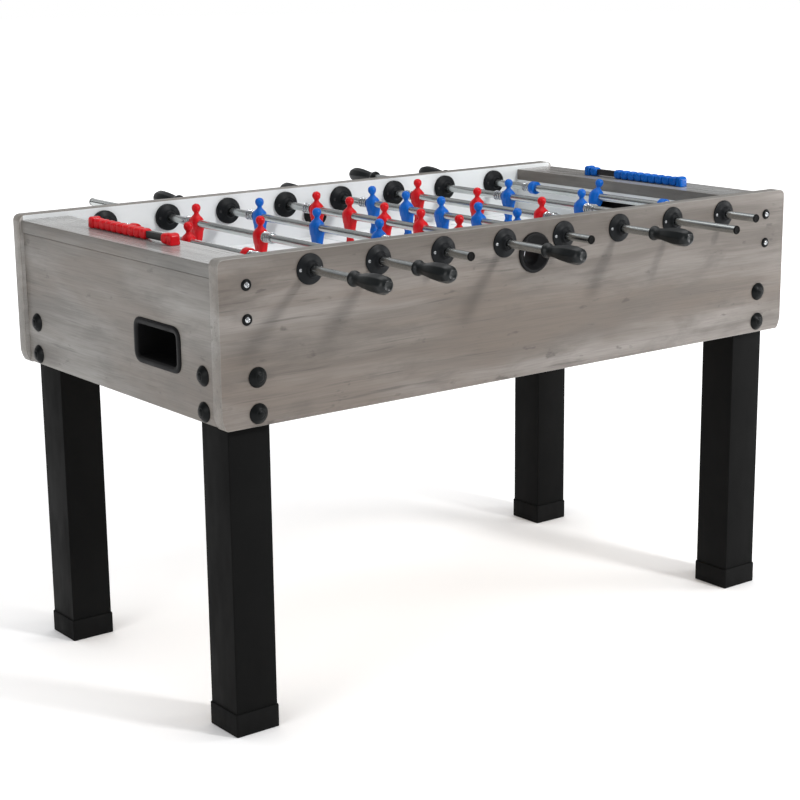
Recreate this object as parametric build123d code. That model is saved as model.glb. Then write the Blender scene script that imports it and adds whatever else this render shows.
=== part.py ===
from build123d import *
import os

# Foosball table, millimetres. The origin is on the floor under the middle of the table.
# +X runs along the table towards the blue goal, +Y across it to the far long side, +Z is up.

# ---------------------------------------------------------------- driving dimensions
TABLE_LENGTH = 1430.0
TABLE_WIDTH = 772.0
TABLE_HEIGHT = 885.0
BOX_BOTTOM = 587.0              # underside of the end panels
SIDE_BOTTOM = 583.5             # the side panels reach a little lower
SIDE_THICKNESS = 28.0
END_THICKNESS = 20.0
END_RECESS = 8.0                # end panels sit inside the ends of the side panels
SIDE_TOP_RADIUS = 15.0
SIDE_FOOT_DROP = 30.0           # height over which the ends sweep in at the bottom
SIDE_FOOT_ARC = 50.0
SIDE_FOOT_RADIUS = 6.0

CAP_TOP = 874.5                 # shelf that carries the score counter
CAP_THICKNESS = 25.0
CAP_RECESS = 4.5
CAP_WIDTH = 106.0

FIELD_TOP = 772.0
FIELD_THICKNESS = 8.0
GROOVE_DEPTH = 4.0              # the playing field sits in grooves
GOAL_WALL_THICKNESS = 12.0
GOAL_WALL_BOTTOM = 704.0
GOAL_HALF_WIDTH = 95.0
GOAL_TOP = 834.0
BASE_BOTTOM = 590.0
BASE_THICKNESS = 10.0

LEG_SIZE = 88.0
LEG_WALL = 14.0
LEG_TOP = 700.0
LEG_EDGE = 2.0
FOOT_CAP_HEIGHT = 44.0
FOOT_CAP_WALL = 2.2
FOOT_CAP_FLOOR = 4.0
FOOT_CAP_GAP = 0.1

BLOCK_DEPTH = 40.0              # corner blocks behind the small screws
BLOCK_WIDTH = 58.0
BLOCK_BOTTOM = 752.0

LEG_BOLT_FROM_END = 75.0        # on the side panels, from the end of the panel
LEG_BOLT_FROM_SIDE = 70.0       # on the end panels, from the side of the table
LEG_BOLT_HEIGHTS = (607.0, 672.0)
LEG_BOLT_RADIUS = 4.0
LEG_BOLT_HOLE = 4.3
BOLT_HEAD_RADIUS = 9.0
BOLT_HEAD_HEIGHT = 5.0
BOLT_NUT_RADIUS = 7.5
BOLT_NUT_HEIGHT = 6.5
BOLT_TAIL = 9.0
BOLT_CAP_RADIUS = 18.7
BOLT_CAP_HEIGHT = 11.0
BOLT_CAP_CAVITY = 11.0
BOLT_CAP_STEPS = 6              # cones that make up the dome

PANEL_SCREW_FROM_END = 57.0
PANEL_SCREW_HEIGHTS = (776.0, 837.0)
PANEL_SCREW_RADIUS = 2.5
PANEL_SCREW_DEPTH = 50.0
PANEL_SCREW_HEAD = 6.0
PANEL_CUP_RADIUS = 10.5
PANEL_CUP_LIP = 8.0
PANEL_CUP_HEIGHT = 3.5

ROD_SPACING = 150.0
ROD_COUNT = 8
ROD_HEIGHT = 850.0
ROD_RADIUS = 8.0
ROD_BORE = 6.0
RUNNING_GAP = 0.05
ROD_CAP_RADIUS = 8.8            # the plug in a rod's bare end
ROD_CAP_THICKNESS = 3.0
ROD_CAP_PLUG = 10.0

FLANGE_RADIUS = 28.0
FLANGE_OUTER_RIM = 2.5          # thickness at the edge
FLANGE_INNER_RIM = 8.5
FLANGE_CONE_RISE = 4.0          # from the rim to the foot of the hub
FLANGE_HUB_RADIUS = 16.0
FLANGE_OUTER_HUB = 14.0
FLANGE_INNER_HUB = 18.0
FLANGE_LIP = 2.0
FLANGE_LIP_RADIUS = 9.5
FLANGE_SPIGOT_RADIUS = 15.0
BUSH_RADIUS = 12.0
BUSH_END_GAP = 0.3
FLANGE_SCREW_PITCH = 21.5       # from the rod's axis, at three and nine o'clock
FLANGE_SCREW_RADIUS = 1.6
FLANGE_SCREW_HOLE = 1.7
FLANGE_SCREW_HEAD = 3.3
FLANGE_SCREW_HEAD_HEIGHT = 2.2
FLANGE_SCREW_SEAT = 3.7
FLANGE_SCREW_DEPTH = 12.0

MAN_HALF_WIDTH = 16.0           # along the rod
MAN_CORNER = 0.38               # corner radius of the body as a share of its depth
MAN_HOLE_GAP = 0.05
MAN_PIN_RADIUS = 2.0
MAN_PIN_HALF_LENGTH = 10.0
NECK_RADIUS = 4.6
HEAD_RADIUS = 9.5
HEAD_HEIGHT = 30.5
STOP_RADIUS = 14.7              # team-coloured stops on the goalkeeper rods
STOP_HALF_LENGTH = 7.8
STOP_POSITION = 209.6

SPRING_RADIUS = 10.8
SPRING_BORE = 8.4
SPRING_LENGTH = 22.0
WASHER_RADIUS = 11.0
WASHER_THICKNESS = 2.0

HANDLE_LENGTH = 101.0
HANDLE_SOCKET = 80.0

INLET_HEIGHT = 824.0
INLET_DROP = 6.0                # the hole sits lower than the middle of the dish
INLET_RIM_RADIUS = 39.5
INLET_RIM_HEIGHT = 5.0
INLET_DISH_RADIUS = 33.5
INLET_BODY_RADIUS = 35.8
INLET_DISH_DEPTH = 12.0
INLET_BODY_DEPTH = 15.0
INLET_BORE = 18.5
INLET_SPIGOT = 20.3
INLET_RING_RADIUS = 24.5
INLET_RING_HEIGHT = 20.0
INLET_RING_RISE = 3.0           # of the ring's middle above the hole's

CUP_CENTRE_Y = -161.0           # return cup of the left end
CUP_CENTRE_Z = 703.0
CUP_FACE_WIDTH = 164.0
CUP_FACE_HEIGHT = 86.0
CUP_FACE_RADIUS = 20.0
CUP_FACE_THICKNESS = 4.0
CUP_MOUTH_WIDTH = 138.0
CUP_MOUTH_HEIGHT = 60.0
CUP_MOUTH_RADIUS = 10.0
CUP_WALL = 2.5
CUP_GAP = 0.5
CUP_BACK_X = -622.0

CHUTE_WALL = 3.0
CHUTE_X = (-685.0, -619.0)
CHUTE_FAR_Y = 101.0
CHUTE_HIGH_FLOOR = 742.0
CHUTE_LOW_FLOOR = 688.0
CHUTE_TOP = 760.0
CHUTE_WINDOW_TOP = 728.0

COUNTER_X = 648.0
COUNTER_LEFT_Y = 18.0           # middle of the red counter
COUNTER_RIGHT_Y = 2.0           # middle of the blue counter
COUNTER_LENGTH = 312.0
COUNTER_BEADS = 10
BEAD_SIZE = 20.0
BEAD_LENGTH = 22.0
BEAD_ROUND = 5.5                # of its ends, above and below
BEAD_EDGE = 1.5
BEAD_LIFT = 0.5
BEAD_GAP = 0.3                  # between beads that move on their own
BAR_WIDTH = 11.0
BAR_HEIGHT = 12.5
BAR_CLEARANCE = 0.3
POST_LENGTH = 17.0
POST_SIZE = 22.5
POST_ROUND = 8.0

# ---------------------------------------------------------------- the eight rods
# men: places of the figures along the rod; reach: inner end of the handle; bare: other end;
# shift: where the rod stands along Y; lean: how far it is turned, in degrees
ONE, TWO, THREE, FIVE = "goalkeeper", "two", "three", "five"
MEN = {
    ONE: (0.0,),
    TWO: (-120.0, 120.0),
    THREE: (-210.0, 0.0, 210.0),
    FIVE: (-242.6, -121.3, 0.0, 121.3, 242.6),
}
HANDLE_START = {ONE: 535.0, TWO: 617.0, THREE: 535.0, FIVE: 495.0}
BARE_END = {ONE: 476.0, TWO: 568.0, THREE: 489.0, FIVE: 458.0}
RED, BLUE = "red", "blue"
RODS = [
    (ONE, RED, 21.0, 0.0),
    (TWO, RED, 118.0, 0.0),
    (THREE, BLUE, 19.5, 0.0),
    (FIVE, RED, -7.5, 0.0),
    (FIVE, BLUE, -9.5, -4.0),
    (THREE, RED, 55.0, 0.0),
    (TWO, BLUE, 4.5, 0.0),
    (ONE, BLUE, -3.5, 16.0),
]

# ---------------------------------------------------------------- worked-out places
HALF_LENGTH = TABLE_LENGTH / 2
HALF_WIDTH = TABLE_WIDTH / 2
INNER_Y = HALF_WIDTH - SIDE_THICKNESS
END_OUTER_X = HALF_LENGTH - END_RECESS
END_INNER_X = END_OUTER_X - END_THICKNESS
CAP_OUTER_X = HALF_LENGTH - CAP_RECESS
CAP_INNER_X = CAP_OUTER_X - CAP_WIDTH
CAP_BOTTOM = CAP_TOP - CAP_THICKNESS
LEG_X = END_INNER_X - LEG_SIZE / 2
LEG_Y = INNER_Y - LEG_SIZE / 2
ROD_XS = [(i - (ROD_COUNT - 1) / 2) * ROD_SPACING for i in range(ROD_COUNT)]
CORNERS = [(sx, sy) for sx in (-1, 1) for sy in (-1, 1)]
SIDES = (-1, 1)


# ---------------------------------------------------------------- helpers
def block(x, y, z):
    """A box between two x, two y and two z values."""
    size = [abs(pair[1] - pair[0]) for pair in (x, y, z)]
    middle = [(pair[1] + pair[0]) / 2 for pair in (x, y, z)]
    return Pos(*middle) * Box(*size)


def disc_y(radius, y_from, y_to, x=0.0, z=0.0):
    """A cylinder along Y."""
    middle = (y_from + y_to) / 2
    return Pos(x, middle, z) * Rot(90, 0, 0) * Cylinder(radius, abs(y_to - y_from))


def disc_x(radius, x_from, x_to, y=0.0, z=0.0):
    """A cylinder along X."""
    middle = (x_from + x_to) / 2
    return Pos(middle, y, z) * Rot(0, 90, 0) * Cylinder(radius, abs(x_to - x_from))


def turned_y(profile):
    """A solid of revolution about Y, from (radius, y) points."""
    face = make_face(Polyline(*[(r, y, 0) for r, y in profile], close=True))
    return revolve(face, Axis.Y)


def half_turn(shape):
    """The same shape at the other end of the table."""
    return Rot(0, 0, 180) * shape


def save(name, shapes):
    """Write one node: its separate solids in one STEP file."""
    solids = [s for shape in shapes for s in shape.solids()]
    whole = solids[0] if len(solids) == 1 else Compound(children=solids)
    export_step(whole, f"parts/{name}.step")


# ---------------------------------------------------------------- cabinet boards
def side_panel(side):
    """A long side panel with its rod, screw, bolt and ball inlet holes; side is -1 near, 1 far."""
    inner, outer = side * INNER_Y, side * HALF_WIDTH
    panel = block((-HALF_LENGTH, HALF_LENGTH), (inner, outer), (SIDE_BOTTOM, TABLE_HEIGHT))
    high = panel.edges().filter_by(Axis.Y).group_by(Axis.Z)[-1]
    panel = fillet(high, SIDE_TOP_RADIUS)
    arc_z = SIDE_BOTTOM + SIDE_FOOT_DROP
    for end in SIDES:
        arc_x = end * (HALF_LENGTH - SIDE_FOOT_ARC)
        corner = block((arc_x, end * HALF_LENGTH), (inner, outer), (SIDE_BOTTOM, arc_z))
        panel -= corner - disc_y(SIDE_FOOT_ARC, inner, outer, arc_x, arc_z)
    low = panel.edges().filter_by(Axis.Y).group_by(Axis.Z)[0]
    panel = fillet(low, SIDE_FOOT_RADIUS)
    cutters = []
    for x in ROD_XS:
        cutters.append(disc_y(FLANGE_SPIGOT_RADIUS, inner, outer, x, ROD_HEIGHT))
        for turn in SIDES:
            place = x + turn * FLANGE_SCREW_PITCH
            cutters.append(disc_y(FLANGE_SCREW_HOLE, inner, outer, place, ROD_HEIGHT))
    for end in SIDES:
        bolt_x = end * (HALF_LENGTH - LEG_BOLT_FROM_END)
        for z in LEG_BOLT_HEIGHTS:
            cutters.append(disc_y(LEG_BOLT_HOLE, inner, outer, bolt_x, z))
        screw_x = end * (HALF_LENGTH - PANEL_SCREW_FROM_END)
        for z in PANEL_SCREW_HEIGHTS:
            cutters.append(disc_y(PANEL_SCREW_RADIUS, inner, outer, screw_x, z))
    seat = outer - side * INLET_BODY_DEPTH
    cutters.append(disc_y(INLET_BODY_RADIUS, outer, seat, 0, INLET_HEIGHT))
    cutters.append(disc_y(INLET_SPIGOT, inner, outer, 0, INLET_HEIGHT - INLET_DROP))
    groove = (inner, inner + side * GROOVE_DEPTH)
    field = (FIELD_TOP - FIELD_THICKNESS, FIELD_TOP)
    cutters.append(block((-CAP_INNER_X, CAP_INNER_X), groove, field))
    return panel - cutters


def end_panel_left():
    """The end panel with the return cup's hole and the leg bolt holes."""
    panel = block((-END_OUTER_X, -END_INNER_X), (-INNER_Y, INNER_Y), (BOX_BOTTOM, CAP_BOTTOM))
    cutters = [cup_outside(CUP_WALL + CUP_GAP, -END_OUTER_X, -END_INNER_X)]
    for side in SIDES:
        for z in LEG_BOLT_HEIGHTS:
            y = side * (HALF_WIDTH - LEG_BOLT_FROM_SIDE)
            cutters.append(disc_x(LEG_BOLT_HOLE, -END_OUTER_X, -END_INNER_X, y, z))
    return panel - cutters


def cap_board_left():
    """The shelf over the end of the table."""
    return block((-CAP_OUTER_X, -CAP_INNER_X), (-INNER_Y, INNER_Y), (CAP_BOTTOM, CAP_TOP))


def goal_wall_left():
    """The wall behind the goal line, with the goal mouth and a groove for the field."""
    back = -CAP_INNER_X - GOAL_WALL_THICKNESS
    wall = block((back, -CAP_INNER_X), (-INNER_Y, INNER_Y), (GOAL_WALL_BOTTOM, CAP_BOTTOM))
    mouth = block((back, -CAP_INNER_X), (-GOAL_HALF_WIDTH, GOAL_HALF_WIDTH), (FIELD_TOP, GOAL_TOP))
    groove = block(
        (-CAP_INNER_X - GROOVE_DEPTH, -CAP_INNER_X),
        (-INNER_Y, INNER_Y),
        (FIELD_TOP - FIELD_THICKNESS, FIELD_TOP),
    )
    return wall - [mouth, groove]


def playfield():
    """The playing field, a tongue of it in the groove of each wall."""
    height = (FIELD_TOP - FIELD_THICKNESS, FIELD_TOP)
    half_x, half_y = CAP_INNER_X, INNER_Y
    tongue_x, tongue_y = half_x + GROOVE_DEPTH, half_y + GROOVE_DEPTH
    long_way = block((-tongue_x, tongue_x), (-half_y, half_y), height)
    wide_way = block((-half_x, half_x), (-tongue_y, tongue_y), height)
    return long_way + wide_way


def base_board():
    """The bottom board, cut away round the legs."""
    height = (BASE_BOTTOM, BASE_BOTTOM + BASE_THICKNESS)
    board = block((-END_INNER_X, END_INNER_X), (-INNER_Y, INNER_Y), height)
    notch = Box(LEG_SIZE, LEG_SIZE, TABLE_HEIGHT)
    return board - [Pos(sx * LEG_X, sy * LEG_Y, BASE_BOTTOM) * notch for sx, sy in CORNERS]


def corner_block(sx, sy):
    """A wooden block that joins side panel, end panel and cap board at a corner."""
    x = (sx * (END_INNER_X - BLOCK_WIDTH), sx * END_INNER_X)
    y = (sy * (INNER_Y - BLOCK_DEPTH), sy * INNER_Y)
    body = block(x, y, (BLOCK_BOTTOM, CAP_BOTTOM))
    screw_x = sx * (HALF_LENGTH - PANEL_SCREW_FROM_END)
    holes = [disc_y(PANEL_SCREW_RADIUS, y[0], y[1], screw_x, z) for z in PANEL_SCREW_HEIGHTS]
    return body - holes


# ---------------------------------------------------------------- legs and fasteners
def leg(sx, sy):
    """A square hollow leg that reaches up inside the cabinet's corner."""
    height = (FOOT_CAP_FLOOR, LEG_TOP)
    half = LEG_SIZE / 2
    outside = block((-half, half), (-half, half), height)
    outside = chamfer(outside.edges().filter_by(Axis.Z), LEG_EDGE)
    room = half - LEG_WALL
    tube = outside - block((-room, room), (-room, room), height)
    tube = Pos(sx * LEG_X, sy * LEG_Y, 0) * tube
    holes = []
    for z in LEG_BOLT_HEIGHTS:
        bolt_x = sx * (HALF_LENGTH - LEG_BOLT_FROM_END)
        bolt_y = sy * (HALF_WIDTH - LEG_BOLT_FROM_SIDE)
        holes.append(disc_y(LEG_BOLT_HOLE, sy * INNER_Y, sy * (INNER_Y - LEG_WALL), bolt_x, z))
        holes.append(disc_x(LEG_BOLT_HOLE, sx * END_INNER_X, sx * (END_INNER_X - LEG_WALL), bolt_y, z))
    return tube - holes


def foot_cap(sx, sy):
    """A square rubber cap on the foot of a leg."""
    inside = LEG_SIZE / 2 + FOOT_CAP_GAP
    outside = inside + FOOT_CAP_WALL
    cap = block((-outside, outside), (-outside, outside), (0, FOOT_CAP_HEIGHT))
    cap = fillet(cap.edges().filter_by(Axis.Z), FOOT_CAP_WALL)
    socket = block((-inside, inside), (-inside, inside), (FOOT_CAP_FLOOR, FOOT_CAP_HEIGHT))
    return Pos(sx * LEG_X, sy * LEG_Y, 0) * (cap - socket)


def leg_bolt(grip):
    """A bolt along +Y from the panel's outer face at y=0, with its nut; the head is at -Y."""
    head = disc_y(BOLT_HEAD_RADIUS, -BOLT_HEAD_HEIGHT, 0)
    shank = disc_y(LEG_BOLT_RADIUS, 0, grip + BOLT_TAIL)
    nut = Pos(0, grip, 0) * Rot(-90, 0, 0) * extrude(RegularPolygon(BOLT_NUT_RADIUS, 6), BOLT_NUT_HEIGHT)
    bore = disc_y(LEG_BOLT_RADIUS, grip, grip + BOLT_NUT_HEIGHT)
    return [head + shank, nut - bore]


def bolt_cap():
    """A domed plastic cap over a bolt head, its rim on the panel's face at y=0."""
    base, rise = BOLT_CAP_RADIUS, BOLT_CAP_HEIGHT
    cavity = BOLT_HEAD_HEIGHT + 1
    steps = [base * n / BOLT_CAP_STEPS for n in range(BOLT_CAP_STEPS + 1)]
    dome = [(r, -rise * (1 - (r / base) ** 2)) for r in steps]
    return turned_y(dome + [(BOLT_CAP_CAVITY, 0), (BOLT_CAP_CAVITY, -cavity), (0, -cavity)])


def facing(sx, sy, on_side):
    """Where each leg bolt goes: two on the side panel or two on the end panel of a corner."""
    places = []
    for z in LEG_BOLT_HEIGHTS:
        if on_side:
            place = Pos(sx * (HALF_LENGTH - LEG_BOLT_FROM_END), sy * HALF_WIDTH, z)
            places.append(place * Rot(0, 0, 0 if sy < 0 else 180))
        else:
            place = Pos(sx * END_OUTER_X, sy * (HALF_WIDTH - LEG_BOLT_FROM_SIDE), z)
            places.append(place * Rot(0, 0, -90 if sx < 0 else 90))
    return places


def leg_fasteners():
    """All leg bolts with their nuts, and all domed caps."""
    bolts, caps = [], []
    for sx, sy in CORNERS:
        for on_side, board in ((True, SIDE_THICKNESS), (False, END_THICKNESS)):
            for place in facing(sx, sy, on_side):
                bolts += [place * piece for piece in leg_bolt(board + LEG_WALL)]
                caps.append(place * bolt_cap())
    return bolts, caps


def panel_screws():
    """The small dome-headed screws near the ends of the side panels, and their cup washers."""
    screws, cups = [], []
    for sx, sy in CORNERS:
        for z in PANEL_SCREW_HEIGHTS:
            place = Pos(sx * (HALF_LENGTH - PANEL_SCREW_FROM_END), sy * HALF_WIDTH, z)
            place = place * Rot(0, 0, 0 if sy < 0 else 180)
            dome = Sphere(PANEL_SCREW_HEAD) & disc_y(PANEL_SCREW_HEAD, -PANEL_SCREW_HEAD, 0)
            shank = disc_y(PANEL_SCREW_RADIUS, 0, PANEL_SCREW_DEPTH)
            cup = turned_y([
                (PANEL_SCREW_HEAD, 0),
                (PANEL_CUP_RADIUS, 0),
                (PANEL_CUP_LIP, -PANEL_CUP_HEIGHT),
                (PANEL_SCREW_HEAD, -PANEL_CUP_HEIGHT),
            ])
            screws.append(place * (dome + shank))
            cups.append(place * cup)
    return screws, cups


# ---------------------------------------------------------------- ball inlet, return cup, chute
def ball_inlet(side):
    """The outer dish and the inner ring of the ball inlet; side is -1 near, 1 far."""
    bore_z = INLET_HEIGHT - INLET_DROP
    rim = disc_y(INLET_RIM_RADIUS, -INLET_RIM_HEIGHT, 0, 0, INLET_HEIGHT)
    rim = fillet(rim.edges().group_by(Axis.Y)[0], INLET_RIM_HEIGHT - 1)
    body = disc_y(INLET_BODY_RADIUS, 0, INLET_BODY_DEPTH, 0, INLET_HEIGHT)
    spigot = disc_y(INLET_SPIGOT, INLET_BODY_DEPTH, SIDE_THICKNESS, 0, bore_z)
    wide = Plane((0, -INLET_RIM_HEIGHT, INLET_HEIGHT), x_dir=(1, 0, 0), z_dir=(0, 1, 0))
    narrow = Plane((0, INLET_DISH_DEPTH, bore_z), x_dir=(1, 0, 0), z_dir=(0, 1, 0))
    funnel = loft([wide * Circle(INLET_DISH_RADIUS), narrow * Circle(INLET_BORE)])
    bore = disc_y(INLET_BORE, INLET_DISH_DEPTH, SIDE_THICKNESS, 0, bore_z)
    dish = rim + body + spigot - funnel - bore
    ring_end = SIDE_THICKNESS + INLET_RING_HEIGHT
    ring = disc_y(INLET_RING_RADIUS, SIDE_THICKNESS, ring_end, 0, bore_z + INLET_RING_RISE)
    ring -= disc_y(INLET_BORE, SIDE_THICKNESS, ring_end, 0, bore_z)
    place = Pos(0, side * HALF_WIDTH, 0) * Rot(0, 0, 0 if side < 0 else 180)
    return [place * dish, place * ring]


def cup_outside(grow, x_from, x_to):
    """The return cup's rounded rectangle, larger than its mouth by grow, as a bar along X."""
    outline = RectangleRounded(
        CUP_MOUTH_WIDTH + 2 * grow, CUP_MOUTH_HEIGHT + 2 * grow, CUP_MOUTH_RADIUS + grow
    )
    plane = Plane((x_from, CUP_CENTRE_Y, CUP_CENTRE_Z), x_dir=(0, 1, 0), z_dir=(1, 0, 0))
    return extrude(plane * outline, x_to - x_from)


def return_cup_left():
    """The moulded cup in the left end that a scored ball rolls into."""
    face_x = -END_OUTER_X - CUP_FACE_THICKNESS
    plane = Plane((face_x, CUP_CENTRE_Y, CUP_CENTRE_Z), x_dir=(0, 1, 0), z_dir=(1, 0, 0))
    face = RectangleRounded(CUP_FACE_WIDTH, CUP_FACE_HEIGHT, CUP_FACE_RADIUS)
    plate = extrude(plane * face, CUP_FACE_THICKNESS)
    plate = fillet(plate.edges().group_by(Axis.X)[0], CUP_FACE_THICKNESS - 1)
    shell = cup_outside(CUP_WALL, -END_OUTER_X, CUP_BACK_X)
    room = cup_outside(0, face_x, CUP_BACK_X - CUP_WALL)
    side_y = CUP_CENTRE_Y + CUP_MOUTH_WIDTH / 2
    window = block(
        (CHUTE_X[0] + CHUTE_WALL, CUP_BACK_X - CUP_WALL),
        (side_y - CUP_WALL, side_y + 2 * CUP_WALL),
        (CHUTE_LOW_FLOOR, CHUTE_WINDOW_TOP),
    )
    return plate + shell - room - window


def ball_chute_left():
    """The sloping trough behind the goal that leads the ball into the return cup."""
    low_y = CUP_CENTRE_Y + CUP_MOUTH_WIDTH / 2 + CUP_WALL
    inner_far = CHUTE_FAR_Y - CHUTE_WALL
    outline = [
        (CHUTE_FAR_Y, CHUTE_TOP),
        (CHUTE_FAR_Y, CHUTE_HIGH_FLOOR - CHUTE_WALL),
        (low_y, CHUTE_LOW_FLOOR - CHUTE_WALL),
        (low_y, CHUTE_WINDOW_TOP),
    ]
    room = [
        (inner_far, CHUTE_TOP + CHUTE_WALL),
        (inner_far, CHUTE_HIGH_FLOOR),
        (low_y, CHUTE_LOW_FLOOR),
        (low_y, CHUTE_TOP + CHUTE_WALL),
    ]
    solid = trough(outline, *CHUTE_X)
    return solid - trough(room, CHUTE_X[0] + CHUTE_WALL, CHUTE_X[1] - CHUTE_WALL)


def trough(outline, x_from, x_to):
    """A YZ outline carried along X."""
    face = make_face(Polyline(*[(x_from, y, z) for y, z in outline], close=True))
    return extrude(face, x_to - x_from, dir=(1, 0, 0))


# ---------------------------------------------------------------- flanges and bushes
def flange(hub_height, rim):
    """A flange disc on a panel face at y=0, its hub towards -Y and its spigot towards +Y."""
    bore = BUSH_RADIUS + RUNNING_GAP
    spigot_end = SIDE_THICKNESS / 2
    body = turned_y([
        (FLANGE_LIP_RADIUS, -hub_height),
        (FLANGE_HUB_RADIUS - 2, -hub_height),
        (FLANGE_HUB_RADIUS, -hub_height + 2),
        (FLANGE_HUB_RADIUS, -rim - FLANGE_CONE_RISE),
        (FLANGE_RADIUS - 1, -rim),
        (FLANGE_RADIUS, -rim + 1),
        (FLANGE_RADIUS, 0),
        (FLANGE_SPIGOT_RADIUS, 0),
        (FLANGE_SPIGOT_RADIUS, spigot_end),
        (bore, spigot_end),
        (bore, -hub_height + FLANGE_LIP),
        (FLANGE_LIP_RADIUS, -hub_height + FLANGE_LIP),
    ])
    cutters = []
    for turn in SIDES:
        x = turn * FLANGE_SCREW_PITCH
        cutters.append(disc_y(FLANGE_SCREW_HOLE, -hub_height, 0, x))
        cutters.append(disc_y(FLANGE_SCREW_SEAT, -hub_height, -rim, x))
    return body - cutters


def flange_screw(turn, rim):
    """A flange screw; its head stands on the flange's seat."""
    x = turn * FLANGE_SCREW_PITCH
    top = -rim - FLANGE_SCREW_HEAD_HEIGHT
    head = disc_y(FLANGE_SCREW_HEAD, top, -rim, x)
    head = fillet(head.edges().group_by(Axis.Y)[0], FLANGE_SCREW_HEAD_HEIGHT / 2)
    return head + disc_y(FLANGE_SCREW_RADIUS, -rim, FLANGE_SCREW_DEPTH, x)


def bush(side):
    """A nylon bush in the flange pair of one side panel."""
    outer_end = HALF_WIDTH + FLANGE_OUTER_HUB - FLANGE_LIP - BUSH_END_GAP
    inner_end = INNER_Y - FLANGE_INNER_HUB + FLANGE_LIP + BUSH_END_GAP
    body = disc_y(BUSH_RADIUS, side * inner_end, side * outer_end)
    return body - disc_y(ROD_RADIUS + RUNNING_GAP, side * inner_end, side * outer_end)


def flange_places(side):
    """The outer and inner flanges of every rod on one side panel: place, hub height and rim."""
    places = []
    for x in ROD_XS:
        outside = Pos(x, side * HALF_WIDTH, ROD_HEIGHT) * Rot(0, 0, 0 if side < 0 else 180)
        inside = Pos(x, side * INNER_Y, ROD_HEIGHT) * Rot(0, 0, 180 if side < 0 else 0)
        places.append((outside, FLANGE_OUTER_HUB, FLANGE_OUTER_RIM))
        places.append((inside, FLANGE_INNER_HUB, FLANGE_INNER_RIM))
    return places


# ---------------------------------------------------------------- rods
def player():
    """A plain player figure on the rod's axis, facing +X, its feet down.

    Each section is its height, its depth, its width along the rod and how far forward it stands.
    """
    sections = [
        (-66, 16, 20, 1.5),
        (-58, 16, 20, 1.5),
        (-48, 11.5, 17, 0),
        (-36, 16, 23, 0),
        (-18, 21, 28.4, 0),
        (-4, 26, 2 * MAN_HALF_WIDTH, 0),
        (4, 26, 2 * MAN_HALF_WIDTH, 0),
        (12, 21, 27, 0),
        (16, 14, 18, 0),
        (19, 10, 11, 0),
    ]
    outlines = []
    for z, deep, wide, x in sections:
        outlines.append(Pos(x, 0, z) * RectangleRounded(deep, wide, MAN_CORNER * deep))
    body = loft(outlines, ruled=True)
    neck = Pos(0, 0, HEAD_HEIGHT / 2) * Cylinder(NECK_RADIUS, HEAD_HEIGHT)
    head = Pos(0, 0, HEAD_HEIGHT) * Sphere(HEAD_RADIUS)
    figure = body + neck + head
    figure -= disc_y(ROD_RADIUS + MAN_HOLE_GAP, -MAN_HALF_WIDTH - 1, MAN_HALF_WIDTH + 1)
    return figure - disc_x(MAN_PIN_RADIUS, -MAN_PIN_HALF_LENGTH, MAN_PIN_HALF_LENGTH)


def stop_cylinder():
    """A team-coloured stop on a goalkeeper rod."""
    body = disc_y(STOP_RADIUS, -STOP_HALF_LENGTH, STOP_HALF_LENGTH)
    body = fillet(body.edges(), 1.5)
    return body - disc_y(ROD_RADIUS + MAN_HOLE_GAP, -STOP_HALF_LENGTH, STOP_HALF_LENGTH)


def ring(radius, bore, start, length):
    """A sleeve or washer on the rod, from y=start towards +Y."""
    return disc_y(radius, start, start + length) - disc_y(bore, start, start + length)


def stop_set():
    """A washer, a spring and a washer on the rod, from y=0 towards +Y.

    The spring is the sleeve that its turns fill.
    """
    hole = ROD_RADIUS + MAN_HOLE_GAP
    return [
        ring(WASHER_RADIUS, hole, 0, WASHER_THICKNESS),
        ring(SPRING_RADIUS, SPRING_BORE, WASHER_THICKNESS, SPRING_LENGTH),
        ring(WASHER_RADIUS, hole, WASHER_THICKNESS + SPRING_LENGTH, WASHER_THICKNESS),
    ]


def rod_tube(kind):
    """The steel tube with its handle towards -Y, drilled for the players' pins."""
    handle_end = -HANDLE_START[kind] - HANDLE_SOCKET
    tip = BARE_END[kind] - ROD_CAP_THICKNESS
    tube = disc_y(ROD_RADIUS, handle_end, tip) - disc_y(ROD_BORE, handle_end, tip)
    pins = [disc_x(MAN_PIN_RADIUS, -ROD_RADIUS, ROD_RADIUS, y) for y in MEN[kind]]
    return tube - pins


def rod_hardware(kind):
    """The tube, the stop sets beyond the outermost pieces and the players' pins."""
    outermost = max(MEN[kind]) + MAN_HALF_WIDTH
    if kind == ONE:
        outermost = STOP_POSITION + STOP_HALF_LENGTH
    pieces = [rod_tube(kind)]
    for turn in (0, 180):
        pieces += [Rot(0, 0, turn) * Pos(0, outermost, 0) * piece for piece in stop_set()]
    pin = disc_x(MAN_PIN_RADIUS, -MAN_PIN_HALF_LENGTH, MAN_PIN_HALF_LENGTH)
    pieces += [Pos(0, y, 0) * pin for y in MEN[kind]]
    return pieces


def rod_players(kind):
    """The figures, and on a goalkeeper rod the two stops."""
    pieces = [Pos(0, y, 0) * player() for y in MEN[kind]]
    if kind == ONE:
        pieces += [Pos(0, turn * STOP_POSITION, 0) * stop_cylinder() for turn in SIDES]
    return pieces


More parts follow.
